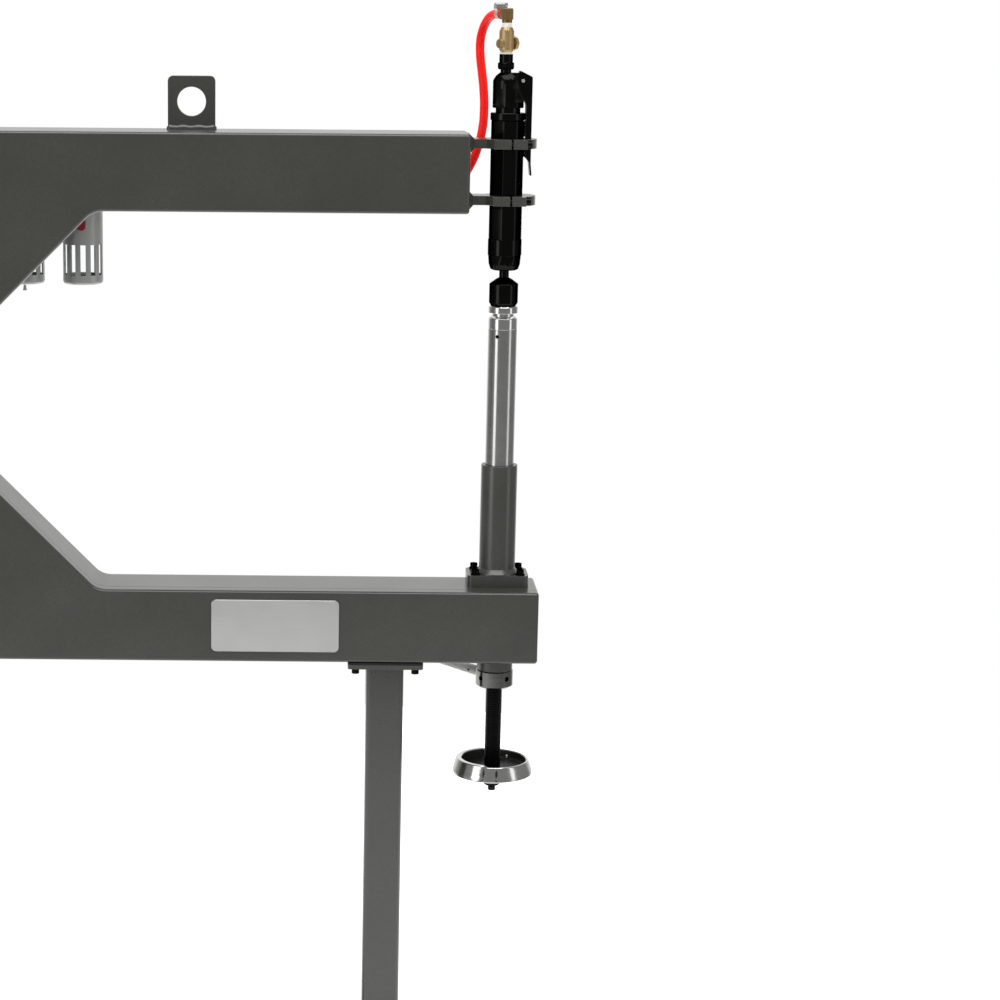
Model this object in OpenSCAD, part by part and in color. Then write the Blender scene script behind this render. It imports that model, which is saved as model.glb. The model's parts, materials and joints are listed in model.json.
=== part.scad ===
// Pneumatic planishing hammer: an air hammer held in a deep C-frame over a
// screw-lifted anvil post, on a bolted two-leg stand.
// Millimetres. +Z is up and +X points from the column to the hammer.
// The origin lies on the floor at the middle of the four anchor holes.

/* [Frame] */
// Distance from the hammer axis back to the column
throat_depth = 710; // [640:1:900]
// Clear height between the two arms
throat_height = 500; // [480:1:560]
// Height of the upper arm
upper_arm_h = 102; // [100:0.5:130]
// Height of the lower arm
lower_arm_h = 97.5; // [85:0.5:130]
// Length of the column along the arms
column_w = 100; // [85:1:130]
// Width across the two half shells
frame_w = 101.6; // [96:0.2:130]
// Depth of the front half shell
front_shell_d = 20; // [14:0.5:22]
// Open groove along the welded seam of the half shells
seam_gap = 0.8; // [0.4:0.1:0.9]
// Wall of both half shells
shell_wall = 6; // [4:0.5:8]
// Side of the corner gussets in the throat
gusset = 174; // [120:1:200]
// Bend radius where a gusset meets an arm or the column
gusset_r = 30; // [10:1:60]
// Corner radius at the ends of the arms and the column
corner_r = 4; // [1:0.5:8]
// Height of the lower arm's top face above the floor
arm_z = 850; // [760:1:950]
// Distance from the hammer axis back to the upper arm's end
upper_arm_gap = 50.5; // [46:0.5:60]
// Reach of the lower arm past the hammer axis
lower_arm_reach = 53; // [46:0.5:80]

/* [Lifting eye] */
// Distance from the hammer axis back to the eye
eye_setback = 412; // [300:1:500]
// Width of the eye plate
eye_w = 62; // [54:0.5:80]
// Height of the eye plate
eye_h = 69; // [60:1:90]
// Thickness of the eye plate
eye_t = 10; // [6:1:16]
// Diameter of the hole in the eye
eye_hole_d = 37.5; // [30:0.5:44]
// Height of the hole above the arm
eye_hole_z = 36; // [30:1:42]
// Distance of the eye behind the frame's middle
eye_back = 25; // [0:1:40]

/* [Stand] */
// Distance from the hammer axis back to the front leg
leg_setback = 150; // [140:1:200]
// Width of the square leg and foot tubes
leg_tube = 50.8; // [40:0.2:60]
// Outside corner radius of the tubes
tube_r = 7; // [5:0.5:10]
// Wall of the tubes
tube_wall = 4; // [2.5:0.5:5]
// Side of the square plate on top of each leg
leg_plate = 101; // [98:1:120]
// Thickness of that plate
leg_plate_t = 6; // [5:0.5:10]
// Thickness of the rubber gasket between leg and frame
gasket_t = 3; // [2:0.5:5]
// Spacing of the four bolts of a leg plate
leg_bolt_pitch = 80; // [76:1:84]
// Length of each foot across the stand
foot_len = 480; // [400:5:600]
// Spacing of the floor anchors across the stand
anchor_pitch = 540; // [520:5:640]
// Diameter of the anchor holes
anchor_d = 14; // [10:1:18]
// Thickness of the floor pads
pad_t = 8; // [6:1:12]
// Width of the floor pads
pad_w = 70; // [60:1:90]
// Margin of a floor pad past its anchor hole
pad_margin = 30; // [20:1:40]
// Length of floor pad that lies under the foot
pad_lap = 40; // [30:1:60]
// Least length of floor pad inside its anchor hole
pad_tail = 60; // [50:1:70]
// Height of the tie bar's middle above the floor
tie_z = 190; // [120:5:300]

/* [Anvil post] */
// Diameter of the anvil post
post_d = 38.1; // [34:0.1:42]
// Length of the anvil post
post_len = 283; // [240:1:320]
// Wall of the sleeve that guides the post
sleeve_wall = 5; // [4:0.5:7]
// Height of the sleeve above the lower arm
sleeve_top = 163.5; // [120:0.5:190]
// Length of sleeve below the lower arm
sleeve_drop = 21.5; // [18:0.5:40]
// Length of the flange along the arm
flange_x = 82; // [78:1:90]
// Width of the flange across the arm
flange_y = 56; // [54:1:74]
// Thickness of the flange
flange_t = 16; // [10:0.5:20]
// Bolt spacing of the flange along the arm
flange_pitch_x = 60; // [58:1:64]
// Bolt spacing of the flange across the arm
flange_pitch_y = 40; // [38:1:43]

/* [Lift] */
// Diameter of the lift screw
screw_d = 22; // [18:1:26]
// Drop of the handwheel's rim below the lower arm's top face
wheel_drop = 246; // [230:1:270]
// Outside diameter of the handwheel
wheel_d = 110; // [96:1:130]
// Height of the handwheel's rim
wheel_h = 20; // [18:1:30]
// Length of the handwheel's hub below its rim
wheel_hub = 9; // [6:1:16]
// Wall of the handwheel's rim at its top
wheel_rim = 4; // [3:0.5:6]
// Diameter of the lock nut under the sleeve
lock_d = 50.4; // [46:0.2:60]
// Height of the lock nut
lock_h = 23; // [16:0.5:26]
// Length of the lock lever outside the nut
lock_lever_len = 88; // [60:1:92]

/* [Dies] */
// Diameter of the upper die
upper_die_d = 38; // [34:0.5:42]
// Height of the upper die below its shank
upper_die_h = 34; // [30:0.5:36]
// Diameter of the upper die's shank
shank_d = 12.7; // [10:0.1:14]
// Diameter of the lower die
lower_die_d = 38.8; // [34:0.2:42]
// Height of the lower die above the post
lower_die_h = 31; // [30:0.2:33]
// Diameter of the lower die's shank
die_stem_d = 16; // [12:0.5:20]

/* [Air hammer] */
// Diameter across the barrel's round edges
barrel_d = 42.8; // [40:0.2:44]
// Distance across the barrel's flats
barrel_flats = 41; // [39:0.2:42]
// Length of the barrel
barrel_len = 194; // [185:1:205]
// Diameter of the piston
piston_d = 20; // [16:0.5:24]
// Length of the piston
piston_len = 70; // [50:1:90]
// Length of the piston's chamber
chamber_len = 155; // [145:1:160]
// Diameter of the ring above the barrel
lock_ring_d = 45.2; // [44:0.2:47]
// Height of the ring above the barrel
lock_ring_h = 10; // [8:0.5:14]
// Diameter of the neck between ring and backhead
neck_d = 32; // [26:0.5:36]
// Open height of the neck
neck_h = 6; // [4:0.5:9]
// Height of the backhead
backhead_h = 45; // [42:0.5:50]
// Width of the throttle lever
lever_w = 22; // [18:0.5:24]
// Sheet thickness of the throttle lever
lever_t = 2; // [1.5:0.25:2.5]

/* [Clamps] */
// Thickness of the two clamps
clamp_t = 12; // [10:0.1:16]
// Height of the lower clamp's middle above the throat
lower_clamp_z = 15; // [14.5:0.5:22]
// Height of the upper clamp's middle above the throat
upper_clamp_z = 88; // [80:0.5:88]
// Width of the clamps across the ears
clamp_w = 80; // [76:1:90]
// Width of the neck that carries a clamp
clamp_neck_w = 40; // [34:1:44]
// Side of the weld between neck and arm
clamp_weld = 7; // [5:0.5:8]
// Opening at a clamp's split
clamp_split = 2.7; // [1.5:0.1:4]

/* [Air line] */
// Diameter of the flow valve's body
valve_d = 19.2; // [17:0.2:22]
// Height of the flow valve's body
valve_h = 31.6; // [30:0.2:36]
// Turn of the flow valve's spindle from the arm
valve_turn = 38; // [20:1:50]
// Outside diameter of the hose
hose_d = 11.6; // [9:0.2:12]

/* [Air preparation unit] */
// Distance from the hammer axis back to the lubricator
lubricator_setback = 562; // [556:1:564]
// Spacing of the lubricator and the filter regulator
unit_pitch = 79; // [74:1:90]
// Outside diameter of the bowl guards
guard_d = 54; // [50:0.5:60]
// Height of the bowl guards
guard_h = 101; // [96:1:106]
// Number of slots round a bowl guard
guard_slots = 12; // [8:1:14]
// Width of a slot
slot_w = 7; // [5:0.2:8]
// Height of a slot
slot_h = 41; // [30:1:44]
// Width of the cast bodies along the arm
unit_w = 60; // [56:1:64]
// Depth of the cast bodies
unit_d = 56; // [52:1:60]
// Height of the cast bodies
unit_h = 50; // [48:1:56]
// Diameter of the ports
port_d = 11.4; // [9:0.2:13]

/* [Hidden] */
$fn = 64;

// Finishes
paint = [0.28, 0.28, 0.26];
black = [0.07, 0.07, 0.07];
bright = [0.78, 0.78, 0.77];
brass = [0.70, 0.55, 0.30];
cast_grey = [0.55, 0.56, 0.56];
red = [0.85, 0.08, 0.08];

// Fits
fit = 0.05;
run = 0.1;
air_gap = 0.3;

// Socket-head bolts, one size throughout
bolt_d = 6;
bolt_head_d = 10;
bolt_head_h = 6;
washer_d = 12.5;
washer_t = 1.6;
socket_d = 5.8;
socket_h = 3;

// Stand and hammer axis, measured from the middle of the anchor holes
leg_span = throat_depth + column_w / 2 - leg_setback;
axis_x = leg_span / 2 + leg_setback;
leg_top = arm_z - lower_arm_h - gasket_t;
half_w = frame_w / 2;
seam_y = -half_w + front_shell_d;
axis_y = (front_shell_d + seam_gap) / 2;

// Anvil stack, heights above the lower arm
sleeve_r = post_d / 2 + run + sleeve_wall;
sleeve_bore = post_d / 2 + run;
sleeve_low = -lower_arm_h - sleeve_drop;
nut_h = 32;
lock_top = sleeve_low - air_gap;
lock_low = lock_top - lock_h;
lever_hole_r = 3.6;
lever_root_r = 7;
lever_tip_r = 5.5;
lever_eye_r = 2.2;
lever_eye_at = 20;
lever_z = lock_low + lock_h * 0.58;
lever_turn = 129;
pivot_d = 16;
pivot_h = 20;
wheel_top = -wheel_drop;
wheel_low = wheel_top - wheel_h;
wheel_dish = 2;
wheel_floor_t = 6;
wheel_floor = wheel_low + wheel_dish + wheel_floor_t;
hub_low = wheel_low - wheel_hub;
hub_r = 15;
cone_washer_r = 11.5;
cone_washer_t = 10;
screw_hole_h = 22;
die_stem_h = 28;
die_cap_h = 9.6;
set_screw_d = 5;
set_screw_turn = 245;

// Air line on top of the hammer, heights above the lower arm from the elbow down
inlet_x = -4;
elbow_turn = 68;
elbow_leg = 12;
hose_rise = 252.5;
elbow_leg_z = throat_height + hose_rise;
elbow_h = 18.4;
elbow_low = elbow_leg_z - 10.8;
thread_r = 4;
seal_up_h = 5.8;
seal_low_h = 2.4;
valve_top = elbow_low - seal_up_h;
valve_low = valve_top - valve_h;
spindle_z = valve_low + 11;
coupling_top = valve_low - seal_low_h;
nut_top = coupling_top - 10.5;
nut_low = nut_top - 9;

// Air hammer, heights above the lower arm from the backhead down
backhead_top = nut_low - 4;
backhead_low = backhead_top - backhead_h;
backhead_r = 20.3;
ring_top = backhead_low - neck_h;
barrel_top = ring_top - lock_ring_h;
barrel_low = barrel_top - barrel_len;
chamber_low = barrel_low + 23;
piston_low = chamber_low + air_gap;
die_travel = 8;
shank_top = chamber_low - die_travel;
die_gap = 13;
upper_die_low = barrel_low - die_gap - upper_die_h;
lug_w = lever_w - 2 * lever_t - 2 * air_gap;
pin_d = 4.5;
pin_x = 18;
pin_z = backhead_top - 10;
lever_out = 30.4;
lever_in = lever_out - lever_t - 0.4;
plunger_d = 6;
plunger_z = pin_z - 18;

// Anvil post, heights above the lower arm
die_top = upper_die_low - air_gap;
post_top = die_top - lower_die_h;
post_low = post_top - post_len;
set_screw_z = post_top - 8.5;

// Clamps
clamp_bore = barrel_d / 2 + fit;
split_x = 3;
cap_x = split_x + clamp_split;
ear_out = 24;
ear_in = -19;
ear_bolt_y = clamp_w / 2 - 8;
cap_reach = barrel_d / 2 + 17;

// Air preparation unit
unit_y = 91;
filter_setback = lubricator_setback + unit_pitch;
port_z = throat_height + 13;
port_rise = 20;
body_low = port_z - port_rise;
body_top = body_low + unit_h;
bowl_z = body_low - guard_h;
passage_d = port_d - 3;
port_depth = 16;
guard_wall = 2;
guard_vent_r = 14;
bowl_r = guard_d / 2 - guard_wall - 3.5;
slot_z = bowl_z + 12.5;
slot_turn = 5;
button_z = bowl_z + 82;
button_travel = 2;
drain_r = 4;
hose_end_x = -505;
barb_end = hose_end_x + lubricator_setback;
bracket_x = -lubricator_setback - unit_pitch / 2;
bracket_bolt_z = 36;

// Hose route from the elbow to the outlet barb, from the frame's middle at the throat's top
hose_route = [
  [-8.5, 21.53, hose_rise], [-13, 32.66, hose_rise], [-17.5, 43.8, 252.2], [-22.5, 56, 249.8],
  [-27.3, 67, 243.5], [-31, 76, 232], [-33.2, 82, 216], [-33, 85, 197],
  [-30, 86, 174], [-27.5, 85.5, 152], [-26.5, 84.5, 129], [-28, 83, 105],
  [-33.5, 81.5, 80], [-43, 80, 56], [-57, 79, 35], [-77, 78.5, 19],
  [-103, 78.5, 8.5], [-133, 79, 3], [-167, 80, 1], [-203, 82, 0.5],
  [-241, 83.5, 1], [-281, 86, 2.5], [-323, 88.5, 5], [-365, 90, 8.5],
  [-407, 91, 12], [-447, 91, 13], [-475, 91, 13], [-505, 91, 13]
];
hose_sides = 10;

// Shared functions and forms

function unit(v) = v / norm(v);

// Arc of radius r that rounds the corner b between a and c
function arc_points(a, b, c, r, n = 6) =
  let (u = unit(a - b), v = unit(c - b), half = acos(u * v) / 2, turn = 180 - 2 * half)
  let (mid = b + unit(u + v) * r / sin(half))
  let (p = b + u * r / tan(half) - mid, q = b + v * r / tan(half) - mid)
  [for (i = [0:n]) mid + (p * sin(turn * (1 - i / n)) + q * sin(turn * i / n)) / sin(turn)];

// Outline whose corners take the radii given, zero for a sharp one
function rounded(points, radii) =
  let (n = len(points))
  [for (i = [0:n - 1]) each radii[i] == 0 ? [points[i]]
    : arc_points(points[(i + n - 1) % n], points[i], points[(i + 1) % n], radii[i])];

function rect(x, y) = [[-x / 2, -y / 2], [x / 2, -y / 2], [x / 2, y / 2], [-x / 2, y / 2]];

// C-shaped outline of the frame, pulled in by d on every side
function frame_outline(d) =
  let (k = d * tan(22.5), left = -throat_depth - column_w + d, low = -lower_arm_h + d)
  let (top = throat_height + upper_arm_h - d, inner = -throat_depth - d)
  let (start = gusset - throat_depth - k, r = max(corner_r - d, 0), bend = gusset_r + d)
  rounded(
    [[left, low], [lower_arm_reach - d, low], [lower_arm_reach - d, -d], [start, -d],
     [inner, gusset - k], [inner, throat_height - gusset + k], [start, throat_height + d],
     [-upper_arm_gap - d, throat_height + d], [-upper_arm_gap - d, top], [left, top]],
    [r, r, r, bend, bend, bend, bend, r, r, r]);

// Hammer axis at the lower arm's top face, in the frame's mid-plane and in the rear shell's
module at_frame() translate([axis_x, 0, arm_z]) children();

module at_axis() translate([axis_x, axis_y, arm_z]) children();

// Extrudes an outline drawn in X and Z from y0 by depth t
module from_side(y0, t) translate([0, y0 + t, 0]) rotate([90, 0, 0]) linear_extrude(t) children();

module from_above(z0, t) translate([0, 0, z0]) linear_extrude(t) children();

// Bolt along +Z, under-head face at the origin, shank going down
module socket_bolt(length, washer = false) {
  lift = washer ? washer_t : 0;
  difference() {
    union() {
      translate([0, 0, lift]) cylinder(d = bolt_head_d, h = bolt_head_h);
      translate([0, 0, -length]) cylinder(d = bolt_d, h = length + lift + 1);
    }
    translate([0, 0, lift + bolt_head_h - socket_h]) cylinder(d = socket_d, h = socket_h + 1, $fn = 6);
  }
  if (washer) difference() {
    cylinder(d = washer_d, h = washer_t - fit);
    translate([0, 0, -1]) cylinder(d = bolt_d + 2 * fit, h = washer_t + 2);
  }
}

module corners(px, py) for (x = [-px / 2, px / 2], y = [-py / 2, py / 2]) translate([x, y, 0]) children();

module leg_places() for (x = [-leg_span / 2, leg_span / 2]) translate([x, 0, 0]) children();

module bolt_hole(h) translate([0, 0, -h / 2]) cylinder(d = bolt_d + 2 * fit, h = h);

// Square tube along Z
module square_tube(h) linear_extrude(h) difference() {
  polygon(rounded(rect(leg_tube, leg_tube), [tube_r, tube_r, tube_r, tube_r]));
  inner = leg_tube - 2 * tube_wall;
  r = max(tube_r - tube_wall, 0.5);
  polygon(rounded(rect(inner, inner), [r, r, r, r]));
}

// Frame

module frame_bolt_holes() {
  leg_places() translate([0, 0, leg_top]) corners(leg_bolt_pitch, leg_bolt_pitch) bolt_hole(60);
  at_axis() corners(flange_pitch_x, flange_pitch_y) bolt_hole(60);
  bracket_bolt_places() bolt_hole(40);
}

module front_shell() color(paint) difference() {
  at_frame() difference() {
    from_side(-half_w, front_shell_d) polygon(frame_outline(0));
    from_side(-half_w + shell_wall, front_shell_d) polygon(frame_outline(shell_wall));
  }
  frame_bolt_holes();
}

module rear_shell() color(paint) difference() {
  start = seam_y + seam_gap;
  at_frame() difference() {
    from_side(start, half_w - start) polygon(frame_outline(0));
    from_side(start - 1, half_w - start + 1 - shell_wall) polygon(frame_outline(shell_wall));
  }
  at_axis() translate([0, 0, -lower_arm_h - 1]) cylinder(r = sleeve_r + fit, h = lower_arm_h + 2);
  frame_bolt_holes();
}

module lifting_eye() color(paint) at_frame()
  translate([-eye_setback, eye_back, throat_height + upper_arm_h]) difference() {
    from_side(-eye_t / 2, eye_t)
      polygon(rounded([[-eye_w / 2, 0], [eye_w / 2, 0], [eye_w / 2, eye_h], [-eye_w / 2, eye_h]],
        [0, 0, 7, 7]));
    translate([0, eye_t, eye_hole_z]) rotate([90, 0, 0]) cylinder(d = eye_hole_d, h = 2 * eye_t);
  }

// Clamps

// Four-sided weld that spreads from the neck to the arm's end
module clamp_weld_form() {
  x0 = -upper_arm_gap;
  x1 = x0 + clamp_weld;
  wide = clamp_neck_w / 2 + clamp_weld;
  tall = clamp_t / 2 + clamp_weld;
  intersection() {
    from_side(-wide, 2 * wide) polygon([[x0, -tall], [x1, -clamp_t / 2], [x1, clamp_t / 2], [x0, tall]]);
    from_above(-tall, 2 * tall)
      polygon([[x0, -wide], [x1, -clamp_neck_w / 2], [x1, clamp_neck_w / 2], [x0, wide]]);
  }
}

module clamp_bolt_places() for (y = [-ear_bolt_y, ear_bolt_y])
  translate([ear_out, y, 0]) rotate([0, 90, 0]) children();

module clamp_yoke(z) color(paint) at_axis() translate([0, 0, throat_height + z]) difference() {
  union() {
    translate([-upper_arm_gap, -clamp_neck_w / 2, -clamp_t / 2])
      cube([upper_arm_gap, clamp_neck_w, clamp_t]);
    translate([0, 0, -clamp_t / 2]) cylinder(d = clamp_w - 12, h = clamp_t);
    translate([ear_in, -clamp_w / 2, -clamp_t / 2]) cube([split_x - ear_in, clamp_w, clamp_t]);
    clamp_weld_form();
  }
  translate([split_x, -clamp_w, -clamp_t]) cube([clamp_w, 2 * clamp_w, 2 * clamp_t]);
  translate([0, 0, -clamp_t]) cylinder(r = clamp_bore, h = 2 * clamp_t);
  clamp_bolt_places() bolt_hole(2 * clamp_w);
}

module clamp_cap(z, slot) color(paint) at_axis() translate([0, 0, throat_height + z]) difference() {
  union() {
    translate([0, 0, -clamp_t / 2]) cylinder(r = cap_reach, h = clamp_t);
    translate([cap_x, -clamp_w / 2, -clamp_t / 2]) cube([ear_out - cap_x, clamp_w, clamp_t]);
  }
  translate([cap_x - 2 * clamp_w, -clamp_w, -clamp_t]) cube([2 * clamp_w, 2 * clamp_w, 2 * clamp_t]);
  translate([0, 0, -clamp_t]) cylinder(r = clamp_bore, h = 2 * clamp_t);
  if (slot) translate([0, -lever_w / 2 - 1, -clamp_t])
    cube([lever_out + air_gap, lever_w + 2, 2 * clamp_t]);
  for (s = [-1, 1]) translate([ear_out, s * (ear_bolt_y + washer_d / 2) - washer_d, -clamp_t])
    cube([cap_reach, 2 * washer_d, 2 * clamp_t]);
  clamp_bolt_places() bolt_hole(2 * clamp_w);
}

module upper_clamp_yoke() clamp_yoke(upper_clamp_z);
module lower_clamp_yoke() clamp_yoke(lower_clamp_z);
module upper_clamp_cap() clamp_cap(upper_clamp_z, true);
module lower_clamp_cap() clamp_cap(lower_clamp_z, false);

module clamp_bolts() color(black) at_axis() for (z = [lower_clamp_z, upper_clamp_z])
  translate([0, 0, throat_height + z]) clamp_bolt_places() socket_bolt(ear_out - ear_in - 4);

// Stand

module leg(x) color(paint) translate([x, 0, 0]) {
  foot_top = pad_t + leg_tube;
  difference() {
    translate([0, 0, leg_top - leg_plate_t]) linear_extrude(leg_plate_t)
      polygon(rounded(rect(leg_plate, leg_plate), [5, 5, 5, 5]));
    translate([0, 0, leg_top]) corners(leg_bolt_pitch, leg_bolt_pitch) bolt_hole(60);
  }
  translate([0, 0, foot_top]) square_tube(leg_top - leg_plate_t - foot_top);
}

module front_leg() leg(leg_span / 2);
module rear_leg() leg(-leg_span / 2);

module foot(x) color(paint) translate([x, foot_len / 2, pad_t + leg_tube / 2])
  rotate([90, 0, 0]) square_tube(foot_len);

module front_foot() foot(leg_span / 2);
module rear_foot() foot(-leg_span / 2);

module tie_bar() color(paint) translate([-leg_span / 2 + leg_tube / 2, 0, tie_z])
  rotate([0, 90, 0]) square_tube(leg_span - leg_tube);

module floor_pads() color(paint) leg_places() for (s = [-1, 1]) {
  near = min(foot_len / 2 - pad_lap, anchor_pitch / 2 - pad_tail);
  far = anchor_pitch / 2 + pad_margin;
  difference() {
    translate([0, s * (near + far) / 2, 0]) linear_extrude(pad_t)
      polygon(rounded(rect(pad_w, far - near), [8, 8, 8, 8]));
    translate([0, s * anchor_pitch / 2, -1]) cylinder(d = anchor_d, h = pad_t + 2);
  }
}

module foot_caps() color(black) leg_places() for (s = [-1, 1]) {
  inner = leg_tube - 2 * tube_wall - 0.6;
  r = max(tube_r - tube_wall, 0.5);
  translate([0, s * foot_len / 2, pad_t + leg_tube / 2]) rotate([-90 * s, 0, 0]) {
    linear_extrude(4) polygon(rounded(rect(leg_tube, leg_tube), [tube_r, tube_r, tube_r, tube_r]));
    translate([0, 0, -15]) linear_extrude(15) polygon(rounded(rect(inner, inner), [r, r, r, r]));
  }
}

module leg_gaskets() color(black) leg_places() difference() {
  translate([0, 0, leg_top]) linear_extrude(gasket_t)
    polygon(rounded(rect(leg_plate, leg_plate), [5, 5, 5, 5]));
  translate([0, 0, leg_top]) corners(leg_bolt_pitch, leg_bolt_pitch) bolt_hole(60);
}

module leg_bolts() color(black) leg_places() translate([0, 0, leg_top - leg_plate_t])
  corners(leg_bolt_pitch, leg_bolt_pitch) rotate([180, 0, 0])
    socket_bolt(leg_plate_t + gasket_t + shell_wall, true);

// Anvil

module post_sleeve() color(paint) at_axis() difference() {
  translate([0, 0, sleeve_low]) cylinder(r = sleeve_r, h = sleeve_top - sleeve_low);
  translate([0, 0, sleeve_low - 1]) cylinder(r = sleeve_bore, h = sleeve_top - sleeve_low + 2);
}

module sleeve_flange() color(paint) at_axis() difference() {
  union() {
    linear_extrude(flange_t) polygon(rounded(rect(flange_x, flange_y), [8, 8, 8, 8]));
    rotate_extrude() polygon([[0, flange_t - 1], [sleeve_r + 3, flange_t - 1], [sleeve_r + 3, flange_t],
      [sleeve_r + 1, flange_t + 6], [0, flange_t + 6]]);
  }
  translate([0, 0, -1]) cylinder(r = sleeve_r + fit, h = flange_t + 10);
  corners(flange_pitch_x, flange_pitch_y) bolt_hole(80);
}

module flange_bolts() color(black) at_axis() translate([0, 0, flange_t])
  corners(flange_pitch_x, flange_pitch_y) socket_bolt(flange_t + shell_wall, true);

module lift_nut() color(brass) at_axis() translate([0, 0, sleeve_low]) difference() {
  cylinder(r = sleeve_bore - fit, h = nut_h);
  translate([0, 0, -1]) cylinder(d = screw_d + 2 * run, h = nut_h + 2);
}

module anvil_post() color(bright) at_axis() difference() {
  translate([0, 0, post_low]) cylinder(d = post_d, h = post_len);
  translate([0, 0, post_top - die_stem_h - 1]) cylinder(d = die_stem_d + 2 * fit, h = die_stem_h + 2);
  translate([0, 0, post_low - 1]) cylinder(d = pivot_d + 2 * run, h = pivot_h + 2);
  translate([0, 0, set_screw_z]) rotate([0, 90, set_screw_turn])
    cylinder(d = set_screw_d + 2 * fit, h = post_d);
}

module die_set_screw() color(black) at_axis() translate([0, 0, set_screw_z]) rotate([0, 90, set_screw_turn])
  translate([0, 0, die_stem_d / 2 + 2 * fit]) difference() {
    cylinder(d = set_screw_d, h = 8);
    translate([0, 0, 5]) cylinder(d = 2.9, h = 4, $fn = 6);
  }

module lower_die() color(bright) at_axis() translate([0, 0, post_top]) {
  r = lower_die_d / 2;
  neck = r - 5;
  base = post_d / 2;
  head = lower_die_h - die_cap_h;
  rotate_extrude() polygon([[0, -die_stem_h + 1], [die_stem_d / 2 - 1, -die_stem_h + 1],
    [die_stem_d / 2, -die_stem_h + 2], [die_stem_d / 2, 0], [base - 0.5, 0], [base, 0.5],
    [base, head - 7], [base - 3.5, head - 4], [neck, head - 4], [neck, head], [r - 0.5, head],
    [r, head + 0.5], [r, lower_die_h - 1.5], [r - 1.5, lower_die_h], [0, lower_die_h]]);
}

// Lift screw, handwheel and lock

module lift_screw() color(black) at_axis() {
  translate([0, 0, wheel_floor]) difference() {
    cylinder(d = screw_d, h = post_low - air_gap - wheel_floor);
    translate([0, 0, -1]) cylinder(d = bolt_d + 2 * fit, h = screw_hole_h);
  }
  translate([0, 0, post_low - air_gap - 1]) cylinder(d = pivot_d, h = pivot_h + 1);
}

// Dished wheel with a flared rim, a hub below and a thicker grip on its left half
module handwheel() color(bright) at_axis() {
  r = wheel_d / 2;
  top_r = r - 5;
  inner = top_r - wheel_rim;
  difference() {
    union() {
      rotate_extrude() polygon([[0, hub_low], [hub_r - 1, hub_low], [hub_r, hub_low + 1],
        [hub_r, wheel_low + wheel_dish], [r - 14, wheel_low + wheel_dish], [r - 11, wheel_low],
        [r - 1.5, wheel_low], [r, wheel_low + 1.5], [r - 0.5, wheel_low + 6], [top_r, wheel_top - 1.5],
        [top_r - 1.5, wheel_top], [inner + 1, wheel_top], [inner, wheel_top - 1],
        [inner, wheel_floor + 2], [inner - 2, wheel_floor], [0, wheel_floor]]);
      rotate([0, 0, 105]) rotate_extrude(angle = 151)
        polygon([[inner - 4, wheel_floor - 1], [inner + 1, wheel_floor - 1], [inner + 1, wheel_top],
          [inner - 3, wheel_top], [inner - 4, wheel_top - 1]]);
    }
    translate([0, 0, hub_low - 1]) cylinder(d = bolt_d + 2 * fit, h = wheel_h + wheel_hub);
  }
}

module wheel_bolt() color(black) at_axis() translate([0, 0, hub_low]) rotate([180, 0, 0]) {
  bore = bolt_d / 2 + fit;
  rotate_extrude() polygon([[bore, 0], [cone_washer_r, 0], [cone_washer_r, 2],
    [bolt_head_d / 2 + 1, cone_washer_t - fit], [bore, cone_washer_t - fit]]);
  translate([0, 0, cone_washer_t]) socket_bolt(cone_washer_t + wheel_floor - hub_low + screw_hole_h - 5);
}

module lock_nut() color(bright) at_axis() difference() {
  r = lock_d / 2;
  rotate_extrude() polygon([[screw_d / 2 + run, lock_low], [r - 2, lock_low], [r, lock_low + 2],
    [r, lock_top - 1], [r - 1, lock_top], [screw_d / 2 + run, lock_top]]);
  for (i = [0:3]) translate([0, 0, lever_z]) rotate([0, 90, lever_turn + 90 * i])
    translate([0, 0, screw_d / 2 + 4]) cylinder(r = lever_hole_r, h = lock_d);
}

module lock_lever() color(bright) at_axis() translate([0, 0, lever_z]) rotate([0, 90, lever_turn]) {
  root = lock_d / 2 + 0.2;
  translate([0, 0, screw_d / 2 + 5]) cylinder(r = lever_hole_r - fit, h = root - screw_d / 2 - 4);
  difference() {
    translate([0, 0, root]) cylinder(r1 = lever_root_r, r2 = lever_tip_r, h = lock_lever_len - lever_tip_r);
    translate([0, lock_d, root + lever_eye_at]) rotate([90, 0, 0]) cylinder(r = lever_eye_r, h = 2 * lock_d);
  }
  translate([0, 0, root + lock_lever_len - lever_tip_r]) sphere(r = lever_tip_r);
}

// Air hammer

module upper_die() color(black) at_axis() translate([0, 0, upper_die_low]) {
  r = upper_die_d / 2;
  s = shank_d / 2;
  stem = shank_top - upper_die_low;
  rotate_extrude() polygon([[0, 0], [r - 2.5, 0], [r, 4], [r, upper_die_h - 5.5],
    [r - 0.8, upper_die_h - 4.7], [s + 4, upper_die_h + 1], [s, upper_die_h + 3], [s, stem - 1],
    [s - 1, stem], [0, stem]]);
}

module hammer_barrel() color(black) at_axis() difference() {
  r = barrel_d / 2;
  union() {
    intersection() {
      rotate_extrude() polygon([[0, barrel_low], [r - 5.5, barrel_low], [r - 3, barrel_low + 1.5],
        [r - 0.8, barrel_low + 8], [r, barrel_low + 18], [r, barrel_top - 1], [r - 1, barrel_top],
        [0, barrel_top]]);
      translate([0, 0, barrel_low - 1]) rotate([0, 0, 10 + 22.5])
        cylinder(d = barrel_flats / cos(22.5), h = barrel_len + 2, $fn = 8);
    }
    translate([0, 0, barrel_low + 19]) rotate_extrude()
      polygon([[0, 0], [r, 0], [r + 0.7, 0.7], [r + 0.7, 21], [r, 21.7], [0, 21.7]]);
  }
  translate([0, 0, barrel_low - 1]) cylinder(d = shank_d + 2 * run, h = chamber_low - barrel_low + 2);
  translate([0, 0, chamber_low]) cylinder(d = piston_d + 2 * run, h = chamber_len);
}

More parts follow.
